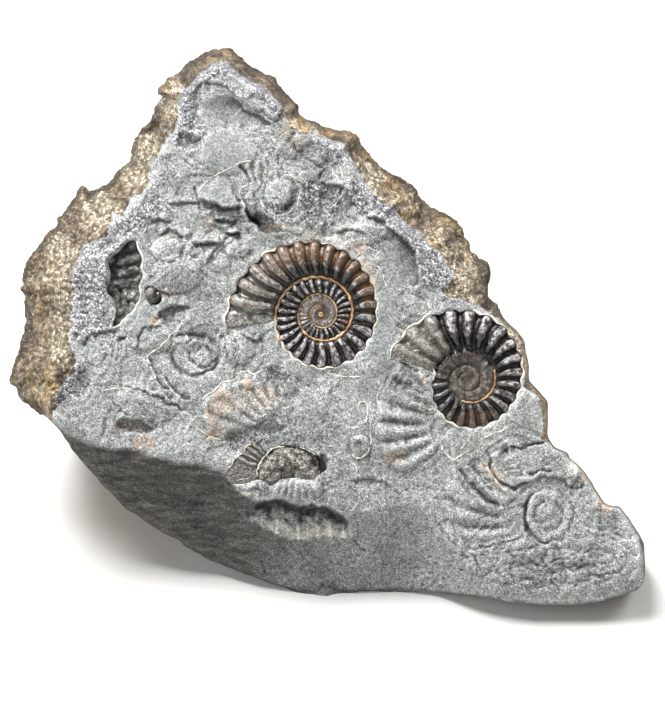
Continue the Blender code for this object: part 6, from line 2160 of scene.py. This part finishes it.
    def dress(self, shell: CoiledShell, seams: Sequence[tuple[float, float, float]], gold: bpy.types.Material,
              cream: bpy.types.Material) -> None:
        """Lay the golden seams between a shell's whorls and the white edge round it.

        Args:
            shell: The shell to dress.
            seams: Start and end in turns, and width in pixels, of each seam.
            gold: Finish of the seams.
            cream: Finish of the outer edge.
        """
        routes = []
        for start, end, width in seams:
            flat, height = shell.seam(start, end)
            taper = np.linspace(1.0, 0.7, len(flat)) * np.clip(0.95 + 0.5 * lumps(flat, 1.1, 3.0), 0.5, 1.4)
            radius = width / READ.pixels_per_mm * 0.5 * taper
            routes.append((flat, height + 0.8 * radius + 0.12, radius))
        if shell.eye:
            turn = np.linspace(0.0, 2.0 * math.pi, 16)
            loop = np.array(READ.point(*shell.hub)) + shell.eye * np.stack([np.cos(turn), np.sin(turn)],
                                                                           axis=1)
            middle = float(shell.seam(shell.turns - 0.3, shell.turns)[1].mean())
            routes.append((loop, np.full(len(loop), middle + 0.05), np.full(len(loop), 0.15)))
        self.gather(shell.name + "_seam", routes, gold)
        flat, height = shell.seam(0.0, 1.0)
        radius = 2.2 / READ.pixels_per_mm * 0.5 * np.clip(0.85 + 0.8 * lumps(flat, 1.1, 6.0), 0.3, 1.35)
        self.gather(shell.name + "_edge", [(flat, height + 0.40, radius)], cream)


@dataclass(frozen=True)
class Lamp:
    """A soft square lamp: its place, its target and its size in metres, and its power in watts."""

    name: str
    place: tuple[float, float, float]
    target: tuple[float, float, float]
    size: float
    watts: float

    def add(self) -> None:
        """Add the lamp to the scene."""
        data = bpy.data.lights.new(self.name, "AREA")
        data.size = self.size
        data.energy = self.watts
        lamp = bpy.data.objects.new(self.name, data)
        lamp.location = self.place
        lamp.rotation_euler = (Vector(self.target) - Vector(self.place)).to_track_quat("-Z", "Y").to_euler()
        bpy.context.scene.collection.objects.link(lamp)


@dataclass(frozen=True)
class Studio:
    """Pale floor, soft light, and the camera at the picture's angle. The floor's half width is in metres."""

    floor_half: float = 3.0
    lens_pixels: float = 1540.0
    air_strength: float = 0.22
    lamps: tuple[Lamp, ...] = (
        Lamp("key_light", (-0.20, 0.06, 0.60), (0.0, 0.0, 0.03), 0.26, 7.2),
        Lamp("top_right_light", (0.40, 0.18, 0.48), (0.0, 0.0, 0.03), 0.30, 2.0),
        Lamp("front_fill", (0.05, -0.75, 0.22), (0.0, 0.0, 0.04), 0.5, 1.2),
        Lamp("left_fill", (-0.60, -0.15, 0.25), (-0.03, 0.0, 0.04), 0.4, 1.6),
    )

    def build(self) -> None:
        """Add the floor, the lights and the camera."""
        bpy.ops.object.select_all(action="DESELECT")
        bpy.ops.mesh.primitive_plane_add(size=2.0 * self.floor_half, location=(0.0, 0.0, 0.0))
        floor = bpy.context.object
        floor.name = "studio_floor"
        floor.data.materials.append(PaleFloor().make())
        for lamp in self.lamps:
            lamp.add()
        world = bpy.data.worlds.new("studio_air")
        world.use_nodes = True
        air = world.node_tree.nodes["Background"]
        air.inputs["Color"].default_value = (1.0, 1.0, 1.0, 1.0)
        air.inputs["Strength"].default_value = self.air_strength
        bpy.context.scene.world = world
        camera_data = bpy.data.cameras.new("camera")
        camera_data.sensor_width = READ.sensor
        camera_data.lens = self.lens_pixels * READ.sensor / READ.picture_height
        camera = bpy.data.objects.new("camera", camera_data)
        camera.location = READ.world(np.zeros((1, 2)), np.array([READ.distance]))[0]
        camera.rotation_euler = (math.radians(90.0) - READ.lean, 0.0, 0.0)
        bpy.context.scene.collection.objects.link(camera)
        bpy.context.scene.camera = camera
        bpy.context.scene.view_settings.view_transform = "Standard"


COILED_BED = -1.9

DARK = FossilShell("polished_dark_calcite", "#100b08", "#7d787a", "#5a4024", "#736957", "#c9c5c1")
OLIVE = FossilShell("polished_olive_calcite", "#16120f", "#8f8a86", "#5c442e", "#7d7869", "#d6d4d2", 0.24,
                    0.4)
MOTTLED = FossilShell("broken_mottled_calcite", "#1d1a16", "#a3a09b", "#594634", "#a09d95", "#d6d4ce", 0.45,
                      0.1)
BLACK = FossilShell("torn_black_calcite", "#151414", "#adadad", "#4a3d30", "#9a9995", "#e2e2e1", 0.32, 0.2)
BROWN = FossilShell("glossy_brown_calcite", "#140c08", "#4a3b30", "#3f2a1c", "#6a6152", "#b4a998", 0.14, 0.8)
GOLD = CalciteEdge("golden_calcite_seam", "#dcb98a", "#94683f")
CREAM = CalciteEdge("cream_calcite_edge", "#f3f0e6", "#cfc8b4")


def main() -> None:
    """Build every piece, dress it and set up the studio."""
    logging.basicConfig(level=logging.INFO, format="%(message)s")
    # Without a seed of its own, Blender takes the offsets of its noise vectors from the clock.
    noise.seed_set(NOISE_SEED)
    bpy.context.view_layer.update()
    bpy.ops.object.select_all(action="DESELECT")
    gold = GOLD.make()
    cream = CREAM.make()
    centre = CentreShell()
    right = RightShell()
    lower = LowerShell()
    left = LeftShell()
    bead = Bead()
    coiled_beds = [(shell.outline(), COILED_BED) for shell in (centre, right)]
    block = Block(coiled_beds + [shell.bed() for shell in (lower, left, bead)])
    block.build(Limestone().make())
    for shell, finish in ((centre, DARK), (right, OLIVE), (lower, MOTTLED), (left, BLACK), (bead, BROWN)):
        shell.build(finish.make())
    lines = EdgeLines(block)
    lines.build(cream)
    lines.dress(centre, ((0.93, 1.93, 3.2), (1.93, 3.28, 1.4)), gold, cream)
    lines.dress(right, ((1.40, 1.76, 2.2),), gold, cream)
    Studio().build()


if __name__ == "__main__":
    main()
